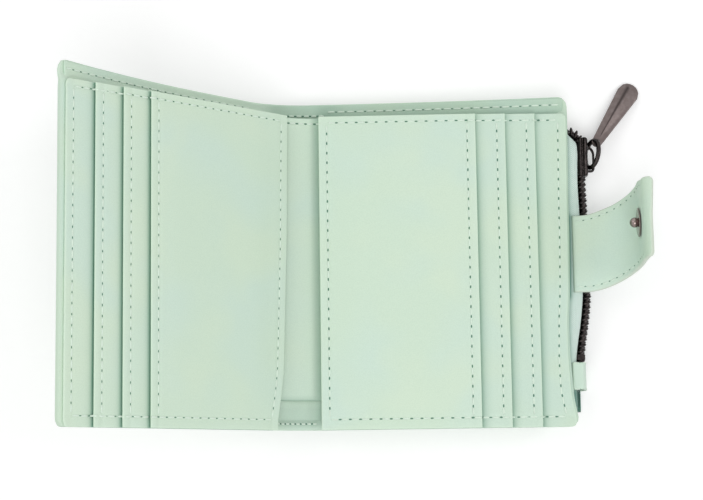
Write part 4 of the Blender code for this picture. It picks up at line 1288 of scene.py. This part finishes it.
    def seams(self, top: Array, bottom: Array, y: Array, left_s: Array) -> None:
        """Sew the band above the card panels and the rows that show on the outside.

        Args:
            top: Inner face of the outer leather.
            bottom: Its outer face.
            y: Heights of the grid.
            left_s: Places of the grid on the left half.
        """
        lay = self.layout
        for half, body, ends in ((Half.LEFT, Body.FRONT, (81.5, 9.0)), (Half.RIGHT, Body.BACK, (9.0, 81.0))):
            run = np.linspace(*ends, 240)
            band = lay.put(half, run, self.top_row, lay.gape(half, run, self.top_row) + 0.06)
            rows = [(band, lay.normal(half))]
            Seams().sew(self.maker, f"{half.name.lower()}_band_seam", rows, body, dark=0.75)
        left_end = len(left_s)
        column, foot = nearest_index(y[0], self.top_row), nearest_index(y[0], self.foot_row)
        normals = grid_normals(top)
        spine = slice(left_end - 2, left_end + self.spine_steps + 2)
        path = top[spine, foot] + normals[spine, foot] * 0.72
        self.sew_spine("spine_foot_seam", path, normals[spine, foot], 1.75)
        spine = slice(left_end + 5, left_end + self.spine_steps + 5)
        path = top[spine, column] * (1, 0, 1) + (0, self.head_row, 0) + normals[spine, column] * 0.75
        self.sew_spine("spine_head_seam", path, normals[spine, column], 2.3)
        fore = nearest_index(left_s[:, column // 2], self.fore_row)
        places = ((slice(2, left_end), column), (slice(4, left_end), foot), (fore, slice(foot, column + 1)))
        rows = [(bottom[at], -normals[at]) for at in places]
        Seams().sew(self.maker, "front_cover_seams", rows, Body.FRONT)


@dataclass
class CoinPocket(Part):
    """Zipped coin pocket behind the right half: its leather back and the two linings inside."""

    outer: float = 82.9
    foot_grow: float = 1.1
    rows: tuple[float, float] = (-45.6, 50.4)
    inner_row: float = 7.0
    lining_inset: float = 5.5
    lining_reach: tuple[float, float] = (9.5, 78.1)
    lining_thick: float = 0.35

    def build(self) -> None:
        """Make the back, its seams and the linings."""
        lay = self.layout
        y = spread(lay.bottom, lay.cover_top, 1.0)[None, :]
        grow = self.foot_grow * ease((lay.bottom + 9.0 - y) / 3.0)
        outer = self.outer + grow - lay.cut(y, lay.bottom, lay.cover_top, lay.corner)
        u = stations(self.outer - lay.right_start, 0.9)[:, None]
        s = lay.right_start + u * (outer - lay.right_start)
        inner = lay.pillow(s, y, lay.pocket_wall(s, y), lay.flat_depth, 0.0)
        away = np.minimum(np.minimum(y - lay.bottom, lay.cover_top - y), s - lay.right_start)
        snug = 0.28 * (1 - ease(away / 2.0))
        top = lay.put(Half.RIGHT, s, y, inner - snug)
        bottom = lay.put(Half.RIGHT, s, y, np.minimum(inner + lay.cover_thick, lay.lowest))
        shade = 0.95 * ease((s - 80.0) / 1.0) * ease((y + 44.8) / 1.0) * ease((-35.0 - y) / 1.0)
        back = self.maker.slab("coin_pocket_back", top, bottom, "leather", 0.4, shade)
        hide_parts("back_cover")
        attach(back, Body.BACK.value)
        normals = grid_normals(bottom)
        places = [(slice(4, -4), nearest_index(y[0], row)) for row in self.rows]
        places.append((nearest_index(s[:, 40], self.inner_row), slice(5, -5)))
        Seams().sew(self.maker, "coin_pocket_seams", [(bottom[at], -normals[at]) for at in places], Body.BACK)
        self.linings()

    def linings(self) -> None:
        """Two sheets of woven lining, one on the note wall and one in the back."""
        lay = self.layout
        low, high = lay.bottom + self.lining_inset, lay.cover_top - self.lining_inset
        inner, outer = self.lining_reach
        y = spread(low, high, 1.4)[None, :]
        s = inner + stations(outer - inner, 1.2)[:, None] * (outer - lay.cut(y, low, high, 1.5) - inner)
        front = lay.pocket_wall(s, y)
        back = lay.pillow(s, y, front + 0.65, lay.flat_depth - 0.65, 3.0)
        for name, depth in (("coin_lining_front", front), ("coin_lining_back", back)):
            top = lay.put(Half.RIGHT, s, y, depth)
            bottom = lay.put(Half.RIGHT, s, y, depth + self.lining_thick)
            piece = self.maker.slab(name + "_cloth", top, bottom, "coin")
            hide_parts(name)
            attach(piece, Body.BACK.value)
            width = float(run_lengths(top, 0)[-1].mean()) * MM
            length = float(run_lengths(top, 1)[:, -1].mean()) * MM


@dataclass
class ClosingTab(Part):
    """Curled snap tab: two layers of leather sewn at the edges, with its stud and the stud's cap."""

    root: Point = (83.7, 4.2, -5.05)
    width: float = 23.6
    length: float = 41.95
    straight: float = 6.8
    curl_radius: float = 11.88
    steep: float = math.radians(90.9)
    flare_from: float = 38.15
    tip_angle: float = math.radians(27.3)
    curl_lead: float = 0.032
    flare_lead: float = 0.079
    skew: float = 7.1
    slack: float = 0.9
    tip_radius: float = 1.4
    thick: float = 1.5
    bend: float = 7.0
    stud_at: float = 28.2
    seam_inset: float = 1.7
    seam_end: float = 35.0
    ball_radius: float = 1.5
    flange: tuple[tuple[float, float], ...] = (
        (1.0, 0.72), (1.3, 0.62), (2.6, 0.58), (3.6, 0.66), (4.1, 0.62), (4.36, 0.5), (4.4, 0.4), (4.3, 0.3),
        (3.5, 0.28), (1.0, 0.28), (0.98, -1.0), (0.3, -1.0))
    cap_rim: tuple[tuple[float, float], ...] = (
        (4.85, -2.1), (5.0, -1.95), (4.9, -1.82), (4.6, -1.8), (0.3, -1.8))

    def angle(self, u: Array, v: Array) -> Array:
        """Slope of the tab: level, then curling up, then flared back at the tip.

        Both the curl and the flare begin earlier towards the tab's upper edge, by a lead times v.

        Args:
            u: Lengths from the root.
            v: Places across.

        Returns:
            Angles above the level.
        """
        curl = np.clip((u + self.curl_lead * v - self.straight) / self.curl_radius, 0.0, self.steep)
        past = (u + self.flare_lead * v - self.flare_from) / (self.length - self.flare_from)
        return curl + (self.tip_angle - self.steep) * np.clip(past, 0.0, 1.0)

    def point(self, u: Array | float, v: Array | float, depth: Array | float, count: int = 80) -> Array:
        """Point at length u and place v across, depth below the inner face.

        The centre line is the integral of (cos, sin) of the slope, by the midpoint rule.

        Args:
            u: Lengths from the root.
            v: Places across.
            depth: Depth below the inner face.
            count: Steps of the integral.

        Returns:
            Points with a last axis of 3.
        """
        u, v, depth = np.broadcast_arrays(u, v, depth)
        share = (np.arange(count) + 0.5) / count
        slopes = self.angle(share * u[..., None], v[..., None])
        x = np.cos(slopes).mean(-1) * u
        z = np.sin(slopes).mean(-1) * u
        slope = self.angle(u, v)
        skew = self.skew * ease((u - 4.0) / 24.0)
        return np.stack([self.root[0] + x + np.sin(slope) * depth, self.root[1] + v + skew,
                         self.root[2] + z - np.cos(slope) * depth], axis=-1)

    def half_width(self, u: Array, side: Array | int) -> Array:
        """Half width, drawn in by the tip's rounded corners; the upper edge is a little slack.

        Args:
            u: Lengths from the root.
            side: 1 towards the upper edge and -1 towards the lower one.

        Returns:
            Distances of the edge from the middle.
        """
        near = np.clip(u - (self.length - self.tip_radius), 0.0, self.tip_radius)
        slack = self.slack * np.maximum(side, 0.0) * ease((u - 2.0) / 8.0) * ease((36.0 - u) / 10.0)
        return (self.width / 2 - self.tip_radius + slack
                + np.sqrt(np.maximum(0.0, self.tip_radius ** 2 - near ** 2)))

    def build(self) -> None:
        """Make the leather, the seams along its edges, and the snap."""
        u = np.unique(np.concatenate([spread(0.0, self.length, 0.55),
                                      self.flare_from + np.array([-0.5, -0.25, 0.0, 0.25, 0.5]),
                                      self.length - np.array([1.4, 1.2, 1.0, 0.75])]))[:, None]
        share = (stations(self.width, 0.6) * 2 - 1)[None, :]
        reach = self.half_width(u, np.sign(share))
        v = share * reach
        beside = ridge(reach - np.abs(v) - self.seam_inset, 0.5)
        groove = 0.12 * beside * ease((u - 0.5) / 1.0) * ease((self.seam_end - u) / 2)
        top, bottom = self.point(u, v, groove), self.point(u, v, self.thick)
        root_shade = 0.6 * np.exp(-u / 0.4) + 0 * v
        leather = self.maker.slab("closing_tab_leather", top, bottom, "tab", 0.35, root_shade, 0.6)
        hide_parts("tab_root", "tab_outer", "tab_lining")
        root = np.array(self.root)
        ends = (self.layout.model(root), self.layout.model(root + (self.bend, 0.0, 0.0)))
        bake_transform(leather)
        self.seams(ends)
        self.snap()

    def seams(self, ends: tuple[Point, Point]) -> None:
        """Sew a row along each long edge, on both faces.

        Args:
            ends: Where the bend begins and ends, in metres; not used.
        """
        run = np.linspace(1.0, self.seam_end, 160)
        rows = []
        for side in (-1, 1):
            edge = side * (self.half_width(run, side) - self.seam_inset)
            inner = unit(self.point(run, edge, 0.0) - self.point(run, edge, 1.0))
            rows += [(self.point(run, edge, 0.1), inner), (self.point(run, edge, self.thick), -inner)]
        thin = Seams(half_width=0.22, half_height=0.12)
        for piece in thin.sew(self.maker, "tab_seams", rows, None, 2.5, 0.6):
            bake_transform(piece)

    def snap(self) -> None:
        """Stud on the inner face and domed cap on the outer face, turned about the same axis."""
        at = self.stud_at
        along = unit(self.point(at + 1.0, 0.0, 0.0) - self.point(at - 1.0, 0.0, 0.0))
        normal = unit(np.cross(along, self.point(at, 1.0, 0.0) - self.point(at, -1.0, 0.0)))
        axes = (along, np.cross(normal, along), normal)
        angle = np.linspace(0.02, math.radians(138.0), 16)
        ball = self.ball_radius * np.stack([np.sin(angle), 1.0 + np.cos(angle)], axis=1)
        crown = np.linspace(0.0, 1.0, 10)
        dome = np.stack([0.05 + 4.55 * crown, -2.6 + 0.42 * crown ** 2.5], axis=1)
        for name, profile, paint in (("snap_stud", np.concatenate([ball, self.flange]), "nickel"),
                                     ("snap_cap", np.concatenate([dome, self.cap_rim]), "dark")):
            rings = turned(self.point(at, 0.0, 0.0), axes, profile)
            piece = self.maker.shell(name + "_turned", rings, paint)
            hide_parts(name)
            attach(piece, Body.TAB.value)


def turned(centre: Array, axes: tuple[Array, Array, Array], profile: Array, around: int = 48) -> Array:
    """Rings of a profile turned about the third axis.

    A point is centre + radius * (cos * first + sin * second) + height * third.

    Args:
        centre: Foot of the axis.
        axes: Three unit directions.
        profile: Radii and heights, shape (n, 2).
        around: Points round each ring.

    Returns:
        Rings of shape (n, around, 3).
    """
    turn = circle(around)[:, None]
    radius, height = profile[:, 0, None, None], profile[:, 1, None, None]
    return centre + radius * (np.cos(turn) * axes[0] + np.sin(turn) * axes[1]) + height * axes[2]


@dataclass
class Zip(Part):
    """Tapes, rows of teeth and end cap of the zip on the fore edge."""

    chain_low: float = -28.6
    chain_high: float = 82.4
    tooth_pitch: float = 1.65
    part_from: float = 33.2
    part_to: float = 43.0
    tape_low: float = -43.6
    tape_high: float = 47.05
    tape_inner: float = 77.6
    tape_seam: float = 79.6
    tape_thick: float = 0.4
    pocket_at: float = 78.4
    cord_offset: float = 1.45
    parting: float = 0.95
    part_over: float = 7.8
    cord_radius: float = 0.55
    tooth_half: Point = (1.27, 1.4, 0.6)
    stop_half: Point = (1.2, 0.9, 0.9)
    cap_low: float = -37.1
    cap_high: float = -28.9
    cap_inner: float = 82.5
    cap_top: float = -5.2
    cap_bottom: float = -15.8
    cap_turn: float = 1.6
    cap_thick: float = 0.7
    route: tuple[tuple[float, float], ...] = (
        (85.5, -44.0), (85.5, -29.0), (85.8, -25.5), (86.4, -21.5), (87.1, -17.5), (87.7, -13.0),
        (88.1, -9.0), (88.3, -4.0), (88.3, 4.0), (88.1, 12.0), (87.8, 20.0), (87.6, 26.0), (87.7, 31.0),
        (87.9, 36.0), (87.6, 39.4), (86.8, 41.4), (85.3, 42.7), (83.6, 43.3), (81.8, 43.6), (78.0, 44.0))

    def line(self) -> Array:
        """Centre line of the chain, x and y: the route's corners rounded by averaging along it."""
        return rounded_route(self.route, 1.4, 400)

    def chain_x(self, y: Array) -> Array:
        """Place of the chain's centre at a height."""
        line = self.line()
        return np.interp(y, line[:, 1], line[:, 0])

    def row_offset(self, y: Array) -> Array:
        """Distance of a row's cord from the chain's centre."""
        return self.cord_offset + self.parting * ease((y - self.part_from) / self.part_over)

    def front_path(self, y: Array) -> Array:
        """Front tape: from the pocket's wall out under the panels' edge and back to its cord.

        Args:
            y: Heights.

        Returns:
            Places along the half and depths of its corner points, shape (points, 2, v).
        """
        lay = self.layout
        under = lay.pocket_wall(np.full_like(y, self.pocket_at), y)
        near = self.chain_x(y) - 1.35 - 1.4 * ease((y - 38.6) / 3.2)
        reach = self.row_offset(y) + 0.95
        rim = np.minimum(lay.panel_outer + lay.waist(y), near - 0.9)
        corners = ((self.tape_inner, under), (self.tape_seam, under + 0.15), (rim, 5.6),
                   (rim * 0.62 + near * 0.38, 5.7), (rim * 0.3 + near * 0.7, 6.3), (near - 0.25, 7.4),
                   (near, 11.9 - reach), (near + 0.1, 12.6 - reach))
        return np.array([[value + 0 * y for value in corner] for corner in corners])

    def back_path(self, y: Array) -> Array:
        """Back tape: along the pocket's back, round its edge and up to its cord.

        Args:
            y: Heights.

        Returns:
            Places along the half and depths of its corner points, shape (points, 2, v).
        """
        lay = self.layout
        place = np.full_like(y, self.pocket_at)
        flat = lay.pillow(place, y, lay.pocket_wall(place, y), 14.4, 0.8)
        below = 15.4 - 1.0 * ease((self.cap_high + 4.0 - y) / 2.0)
        near = self.chain_x(y) - 0.2
        end = lay.chain_depth + self.row_offset(y) + 0.95
        corners = ((self.tape_inner, flat), (self.tape_seam, flat),
                   (np.minimum(lay.wall_edge, near - 1.6), flat), (np.minimum(84.3, near - 1.1), below),
                   (near - 0.7, below), (near - 0.18, below - 0.135), (near, below - 0.45), (near, end))
        return np.array([[value + 0 * y for value in corner] for corner in corners])

    def tape(self, name: str, path: Array, y: Array, front: bool) -> None:
        """One tape as a strip through its corner points, rounded by a weighted mean along them.

        Args:
            name: Node that the tape stands for.
            path: Corner points at each height, shape (points, 2, v).
            y: Heights.
            front: Whether it is the front tape.
        """
        run = np.linspace(0.0, len(path) - 1.0, 57)
        low = np.clip(np.floor(run).astype(int), 0, len(path) - 2)
        share = (run - low)[:, None, None]
        line = path[low] * (1 - share) + path[low + 1] * share
        padded = np.concatenate([np.repeat(line[:1], 2, 0), line, np.repeat(line[-1:], 2, 0)])
        x, depth = sum(weight * padded[k:k + len(line)] for k, weight in
                       enumerate((0.06, 0.24, 0.4, 0.24, 0.06))).transpose(1, 0, 2)
        top = self.layout.put(Half.RIGHT, x, y, depth)
        beside = x - self.layout.wall_edge - self.layout.waist(y)
        # Painted shade: on the front tape beside the note wall, stronger under the tab, and on both tapes at
        # the foot.
        tab_shadow = 0.5 * ease((14.0 - np.abs(y - 3.5)) / 2.0)
        close = (0.34 + tab_shadow) * np.exp(-np.maximum(beside, 0.0) / 0.7)
        shade = np.maximum(close if front else 0 * close, 0.9 * ease((-36.6 - y) / 1.0))
        piece = self.maker.slab(name + "_weave", top, top - grid_normals(top) * self.tape_thick, "tape",
                                0.5, shade, 0.0)
        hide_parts(name)
        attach(piece, Body.BACK.value)
        width = float(run_lengths(top)[-1].mean()) * MM

    def build(self) -> None:
        """Make the tapes, the rows and the end cap."""
        y = np.linspace(self.tape_low, self.tape_high, 118)
        self.tape("zip_tape_front", self.front_path(y), y, True)
        self.tape("zip_tape_back", self.back_path(y), y, False)
        self.row("front", 1, 0.0)
        self.row("back", -1, 0.5)
        self.end_cap()

    def row(self, side: str, up: int, phase: float) -> None:
        """One row of slanted teeth, the cord that they grip and the stop above them.

        A tooth is a blunt capsule through the chain's depth; its second axis leans along the chain, so the
        row looks twisted.

        Args:
            side: Name of the row's side.
            up: 1 for the front row and -1 for the back row.
            phase: Share of a tooth's pitch by which the row is ahead of the other.
        """
        name = f"zip_teeth_{side}"
        line = self.line()
        line = line[(line[:, 1] > self.chain_low) & (line[:, 0] > self.chain_high)]
        run = run_lengths(line)
        at = np.arange(phase, run[-1] / self.tooth_pitch) * self.tooth_pitch
        x, y = along_path(line, run, at).T
        ahead = along_path(line, run, at + 0.4) - along_path(line, run, at - 0.4)
        along = unit(np.column_stack([ahead, 0 * at]))
        across = np.stack([along[:, 1], -along[:, 0], 0 * y], axis=1)
        centre_depth = -self.layout.chain_depth
        offset = self.row_offset(np.minimum(y, self.part_to))
        centre = np.stack([x, y, centre_depth + up * (offset - 0.6)], axis=1)
        half_depth, half_reach, half_height = self.tooth_half
        deep = np.tile([0.0, 0.0, half_depth], (len(y), 1))
        slanted = across * half_reach + along * half_height
        teeth = self.maker.repeated(name + "_slanted", bean(7, 12, 0.45), centre,
                                    (deep, slanted, along * half_height), "dark")
        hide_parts(name)
        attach(teeth, Body.BACK.value)
        x, y = along_path(line, run, np.linspace(0.0, run[-1], 140)).T
        path = np.stack([x, y, centre_depth + up * self.row_offset(np.minimum(y, self.part_to))], axis=1)
        turn = circle(10)
        ring = np.stack([np.cos(turn), 0 * turn, np.sin(turn)], axis=1)
        grid = path[:, None] + self.cord_radius * ring[None]
        cord = self.maker.shell(name + "_cord", grid, "dark")
        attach(cord, Body.BACK.value)
        wide, high, deep = self.stop_half
        axes = tuple(np.array([axis]) for axis in ((0.0, high, 0.0), (wide, 0.0, 0.0), (0.0, 0.0, deep)))
        stop = self.maker.repeated(f"zip_top_stop_{side}_rounded", bean(9, 16, 0.35), path[-1:], axes, "dark")
        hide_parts(f"zip_top_stop_{side}")
        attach(stop, Body.BACK.value)

    def end_cap(self) -> None:
        """Leather folded over the lower end of the chain: a U that opens towards the pocket."""
        outer = float(self.chain_x(np.array(self.cap_high))) + 1.55
        bend = outer - self.cap_turn
        angle = np.linspace(math.pi / 2, -math.pi / 2, 22)
        middle, half = (self.cap_top + self.cap_bottom) / 2, (self.cap_top - self.cap_bottom) / 2
        x = np.concatenate([np.linspace(self.cap_inner, bend, 10)[:-1], bend + self.cap_turn * np.cos(angle),
                            np.linspace(bend, self.cap_inner, 10)[1:]])
        z = np.concatenate([np.full(9, self.cap_top), middle + half * np.sin(angle),
                            np.full(9, self.cap_bottom)])
        y = spread(self.cap_low, self.cap_high, 0.7)
        skin = np.stack(np.broadcast_arrays(x[:, None], y[None, :], z[:, None]), axis=-1)
        normals = grid_normals(skin)
        normals = normals * np.sign(normals[0, 0, 2])
        piece = self.maker.slab("zip_end_cap_leather", skin, skin - normals * self.cap_thick, "leather", 0.45)
        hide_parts("zip_end_cap")
        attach(piece, Body.BACK.value)
        rows = [(skin[:, k], normals[:, k]) for k in (2, -3)]
        Seams(half_width=0.2, half_height=0.12).sew(self.maker, "end_cap_seams", rows, Body.BACK, 2.4, 0.7)


@dataclass
class Slider(Part):
    """Cast slider that widens upwards, with a slot for the tape on either side, and the bridge on it."""

    low: float = 29.0
    length: float = 12.0
    middle: float = 88.1
    part_from: float = 33.2
    ribs: tuple[float, float] = (33.4, 36.6)
    bridge: tuple[tuple[float, float], ...] = (
        (89.6, 30.7), (91.2, 30.7), (91.55, 31.2), (91.6, 33.5), (91.6, 36.4), (90.9, 37.8), (89.6, 38.4))
    bridge_size: tuple[float, float] = (0.37, 0.75)
    half_thick: tuple[float, float] = (1.1, 0.6)
    half_broad: tuple[float, float] = (2.65, 0.95)
    rib_height: float = 0.12

    def build(self) -> None:
        """Make the body and the bridge.

        A section of the body is a blunt oval, x = a * cos^0.7 and z = b * sin^0.5; the slot is a dip of z
        where x is near 0.
        """
        y = self.low + self.length * stations(self.length, 0.5, (0.0, 0.05, 0.16, 0.35, 0.6))[:, None]
        near = np.clip(np.minimum(y - self.low, self.low + self.length - y) / 0.7, 0.0, 1.0)
        full = np.sqrt(1.0 - (1.0 - near) ** 2)
        turn = circle(72)[None, :]
        ends, swell = self.half_thick
        x = (ends + swell * full) * blunt(np.cos(turn), 0.7)
        foot, flare = self.half_broad
        wide = foot + flare * ease((y - self.part_from) / 7.0) - 0.5 * (1 - full)
        z = wide * blunt(np.sin(turn), 0.5) * (1 - 0.3 * ridge(x, 0.3))
        ribs = self.rib_height * sum(ridge(y - place, 0.3) for place in self.ribs)
        grid = np.stack([self.middle + x * (1 + 0.3 * ribs), y + 0 * x,
                         z + ribs * np.sign(z) - self.layout.chain_depth], axis=-1)
        body = self.maker.shell("zip_slider_cast", grid, "dark")
        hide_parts("zip_slider")
        line = rounded_route(self.bridge, 0.5, 50)
        ahead = unit(np.gradient(line, axis=0))
        out = np.stack([ahead[:, 1], -ahead[:, 0], 0 * ahead[:, 0]], axis=1)
        path = np.column_stack([line, np.full(len(line), -self.layout.chain_depth)])
        turn = circle(20)[None, :, None]
        thick, broad = self.bridge_size
        grid = (path[:, None] + thick * np.cos(turn) * out[:, None]
                + broad * blunt(np.sin(turn), 0.6) * np.array([0.0, 0.0, 1.0]))
        bridge = self.maker.shell("zip_slider_bridge", grid, "dark")
        for piece in (body, bridge):
            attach(piece, Body.SLIDER.value)


@dataclass
class JumpRing(Part):
    """Open wire ring that hangs on the bridge and carries the pull."""

    seat: tuple[float, float] = (90.5, 31.9)
    lean: float = math.radians(10.0)
    twist: float = math.radians(55.0)
    length: float = 8.6
    width: float = 6.0
    wire: float = 0.72
    steps: int = 64
    opening: tuple[float, float] = (-50.0, 250.0)

    def build(self) -> None:
        """Make the ring: a circle of the wire's radius carried round most of an ellipse, its ends blunt."""
        along = np.array([math.sin(self.lean), math.cos(self.lean), 0.0])
        across = (np.array([math.cos(self.lean), -math.sin(self.lean), 0.0]) * math.cos(self.twist)
                  + np.array([0.0, 0.0, math.sin(self.twist)]))
        turn = np.radians(np.linspace(*self.opening, self.steps))[:, None]
        seat = np.array([*self.seat, -self.layout.chain_depth])
        far, wide = along * self.length / 2, across * self.width / 2
        path = seat + far * (1 - np.cos(turn)) + wide * np.sin(turn)
        flat = np.cross(along, across)
        out = np.cross(unit(far * np.sin(turn) + wide * np.cos(turn)), flat)
        from_end = np.minimum(np.arange(self.steps), np.arange(self.steps)[::-1])
        wire = self.wire * np.sqrt(1 - 0.5 * ridge(from_end, 0.9))[:, None, None]
        around = circle(16)[None, :, None]
        grid = path[:, None] + wire * (np.cos(around) * out[:, None] + np.sin(around) * flat)
        piece = self.maker.shell("jump_ring_wire", grid, "dark")
        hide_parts("jump_ring")
        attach(piece, Body.RING.value)


@dataclass
class Pull(Part):
    """Teardrop pull with a ridge: rays from the hole to the outline, round both faces."""

    place: tuple[float, float] = (92.9, 39.9)
    turn: float = math.radians(33.4)
    slope: float = math.radians(10.0)
    ridge_turn: float = math.radians(2.6)
    eye: float = 1.6
    broad: float = 3.4
    bulk: float = 19.3
    hole: float = 0.95
    thick: float = 0.8
    ridge_height: float = 0.5
    rounding: float = 0.22
    shares: Places = (0.0, 0.03, 0.1, 0.2, 0.35, 0.5, 0.65, 0.8, 0.92, 0.97, 1.0)

    def outline(self, a: Array, b: Array) -> Array:
        """Distance of the outline from the hole along each ray.

        The outline is the border of two circles and their tangents, found along each ray by bisection.

        Args:
            a: Part of each ray's direction that points sideways.
            b: Part that points along the pull.

        Returns:
            Distances.
        """
        lean = (self.broad - self.eye) / self.bulk
        near, far = np.zeros_like(a), np.full_like(a, 40.0)
        for _ in range(40):
            middle = (near + far) / 2
            x, y = np.abs(a * middle), b * middle
            between = (y > -lean * self.eye) & (y < self.bulk - lean * self.broad)
            tangent = np.where(between, x * math.sqrt(1 - lean ** 2) - y * lean - self.eye, 9.0)
            circles = np.minimum(np.hypot(x, y) - self.eye, np.hypot(x, y - self.bulk) - self.broad)
            outside = np.minimum(circles, tangent) > 0
            far = np.where(outside, middle, far)
            near = np.where(outside, near, middle)
        return near

    def build(self) -> None:
        """Make the pull."""
        along = (np.array([math.sin(self.turn), math.cos(self.turn), 0.0]) * math.cos(self.slope)
                 - np.array([0.0, 0.0, math.sin(self.slope)]))
        side = np.array([math.cos(self.turn), -math.sin(self.turn), 0.0])
        up = np.cross(side, along)
        ray = circle(144) - self.ridge_turn
        a, b = np.sin(ray), np.cos(ray)
        reach = self.outline(a, b)
        off_ridge = np.abs(np.angle(np.exp(1j * (ray + self.ridge_turn))))
        rise = self.ridge_height * np.clip(1.0 - off_ridge / math.radians(12.0), 0.0, 1.0)
        rings, dark = [], []
        for front, shares in ((True, self.shares), (False, self.shares[::-1])):
            for share in shares:
                radius = self.hole + (reach - self.hole) * share
                round_edge = math.sqrt(max(0.0, 1 - max(0.0, (share - 0.9) / 0.1) ** 2))
                height = self.thick / 2 - self.rounding * (1 - round_edge) + 0 * ray
                if front:
                    height = height + rise * ease((radius - 1.6) / 7.0) * (1 - ease((share - 0.86) / 0.14))
                # Painted shade: a thin dark line along the crest of the ridge, with no groove in the mesh.
                groove = 0.85 * ridge(off_ridge * radius, 0.16) * (radius > 2.2) * (radius < reach - 1.0)
                height = (height if front else -height)[:, None]
                rings.append(side * (a * radius)[:, None] + along * (b * radius)[:, None] + up * height)
                dark.append(groove * front)
        origin = np.array([*self.place, -self.layout.chain_depth])
        piece = self.maker.shell("zip_pull_teardrop", np.array(rings) + origin, "pull", poles=False,
                                 loop=True, crease=np.array(dark))
        piece.data.set_sharp_from_angle(angle=math.radians(38))
        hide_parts("zip_pull")
        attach(piece, Body.PULL.value)


def dress(node: str, material: bpy.types.Material) -> None:
    """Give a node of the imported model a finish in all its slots.

    Args:
        node: Name of the node.
        material: The finish.
    """
    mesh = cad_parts[node].data
    if not mesh.materials:
        mesh.materials.append(material)
    for k in range(len(mesh.materials)):
        mesh.materials[k] = material
    LOG.info("%s: dressed", node)


@dataclass(frozen=True)
class Lamp:
    """Square lamp that faces the middle of the scene."""

    name: str
    where: Point
    size: float
    power: float

    def build(self) -> None:
        """Make the lamp."""
        light = bpy.data.lights.new(self.name, "AREA")
        light.shape = "SQUARE"
        light.size, light.energy = self.size, self.power
        lamp = bpy.data.objects.new(self.name, light)
        lamp.location = self.where
        lamp.rotation_euler = (-Vector(self.where)).to_track_quat("-Z", "Y").to_euler()
        bpy.context.scene.collection.objects.link(lamp)


@dataclass
class Studio:
    """White sweep, soft lamps on all sides and the camera at the picture's view."""

    place: Point = (-0.01188185, -0.06548166, 0.53494738)
    right: Point = (0.99943968, -0.01370434, -0.03053703)
    up: Point = (0.01772902, 0.99059225, 0.13569332)
    back: Point = (0.02839016, -0.13615868, 0.99028017)
    lens: float = 88.557
    ambient: float = 0.56
    floor_half: float = 1.5
    floor_lift: float = 0.24
    lamps: tuple[Lamp, ...] = (
        Lamp("lamp_left", (-0.6, 0.3, 0.7), 0.5, 0.85),
        Lamp("lamp_right", (0.75, 0.1, 0.75), 0.35, 1.55),
        Lamp("lamp_over", (-0.02, -0.46, 0.93), 0.5, 2.95),
        Lamp("lamp_behind", (-0.1, 0.75, 0.55), 0.5, 0.35))

    def build(self) -> None:
        """Make the camera, the lamps, the world and the floor."""
        scene = bpy.context.scene
        scene.view_settings.view_transform = "Standard"
        camera = bpy.data.objects.new("camera", bpy.data.cameras.new("camera"))
        camera.data.lens = self.lens
        camera.data.sensor_width = 36.0
        camera.data.sensor_fit = "HORIZONTAL"
        camera.data.clip_start, camera.data.clip_end = 0.01, 20.0
        turn = Matrix((self.right, self.up, self.back)).transposed()
        camera.matrix_world = Matrix.Translation(self.place) @ turn.to_4x4()
        scene.collection.objects.link(camera)
        scene.camera = camera
        for lamp in self.lamps:
            lamp.build()
        self.world()
        self.floor()

    def seen(self, tree: bpy.types.NodeTree) -> bpy.types.NodeSocket:
        """1 for camera, glossy and transmission rays, otherwise 0.

        Args:
            tree: Node tree that the nodes go into.

        Returns:
            The socket that carries the number.
        """
        path = tree.nodes.new("ShaderNodeLightPath")
        total = path.outputs["Is Camera Ray"]
        for name in ("Is Glossy Ray", "Is Transmission Ray"):
            either = tree.nodes.new("ShaderNodeMath")
            either.operation = "MAXIMUM"
            tree.links.new(total, either.inputs[0])
            tree.links.new(path.outputs[name], either.inputs[1])
            total = either.outputs[0]
        return total

    def world(self) -> None:
        """Even pale light from all round, seen as white."""
        world = bpy.data.worlds.new("studio")
        bpy.context.scene.world = world
        world.use_nodes = True
        tree = world.node_tree
        base = tree.nodes["Background"]
        base.inputs["Color"].default_value = (1.0, 1.0, 1.0, 1.0)
        strength = tree.nodes.new("ShaderNodeMapRange")
        strength.inputs["To Min"].default_value = self.ambient
        strength.inputs["To Max"].default_value = 1.0
        tree.links.new(self.seen(tree), strength.inputs["Value"])
        tree.links.new(strength.outputs["Result"], base.inputs["Strength"])

    def floor(self) -> None:
        """White floor that keeps the wallet's shadow and is lifted to white for the camera."""
        half = self.floor_half
        mesh = bpy.data.meshes.new("floor")
        mesh.from_pydata([(-half, -half, 0.0), (half, -half, 0.0), (half, half, 0.0), (-half, half, 0.0)],
                         [], [(0, 1, 2, 3)])
        floor = bpy.data.objects.new("floor", mesh)
        bpy.context.scene.collection.objects.link(floor)
        r = Recipe("white_floor")
        r.put(r.shader.inputs["Base Color"], r.blend(r.noise(3.0), (0.86, 0.86, 0.86), (0.87, 0.87, 0.87)))
        r.constants(Roughness=0.9, Specular_IOR_Level=0.1)
        r.shader.inputs["Emission Color"].default_value = (1.0, 1.0, 1.0, 1.0)
        r.put(r.shader.inputs["Emission Strength"], r.math("MULTIPLY", self.seen(r.tree), self.floor_lift))
        mesh.materials.append(r.material)


def main() -> None:
    """Build the wallet's looks in order, then the studio."""
    logging.basicConfig(level=logging.INFO, format="%(name)s: %(message)s")
    layout = Layout()
    maker = Maker(finishes())
    CardSide(layout, maker, Half.LEFT, Body.FRONT).build()
    CardSide(layout, maker, Half.RIGHT, Body.BACK).build()
    for part in (Cover, CoinPocket, ClosingTab, Zip, Slider, JumpRing, Pull):
        part(layout, maker).build()
    dress("zip_bottom_stop", maker.paints["dark"][0])
    dress("snap_socket", maker.paints["nickel"][0])
    Studio().build()


if __name__ == "__main__":
    main()
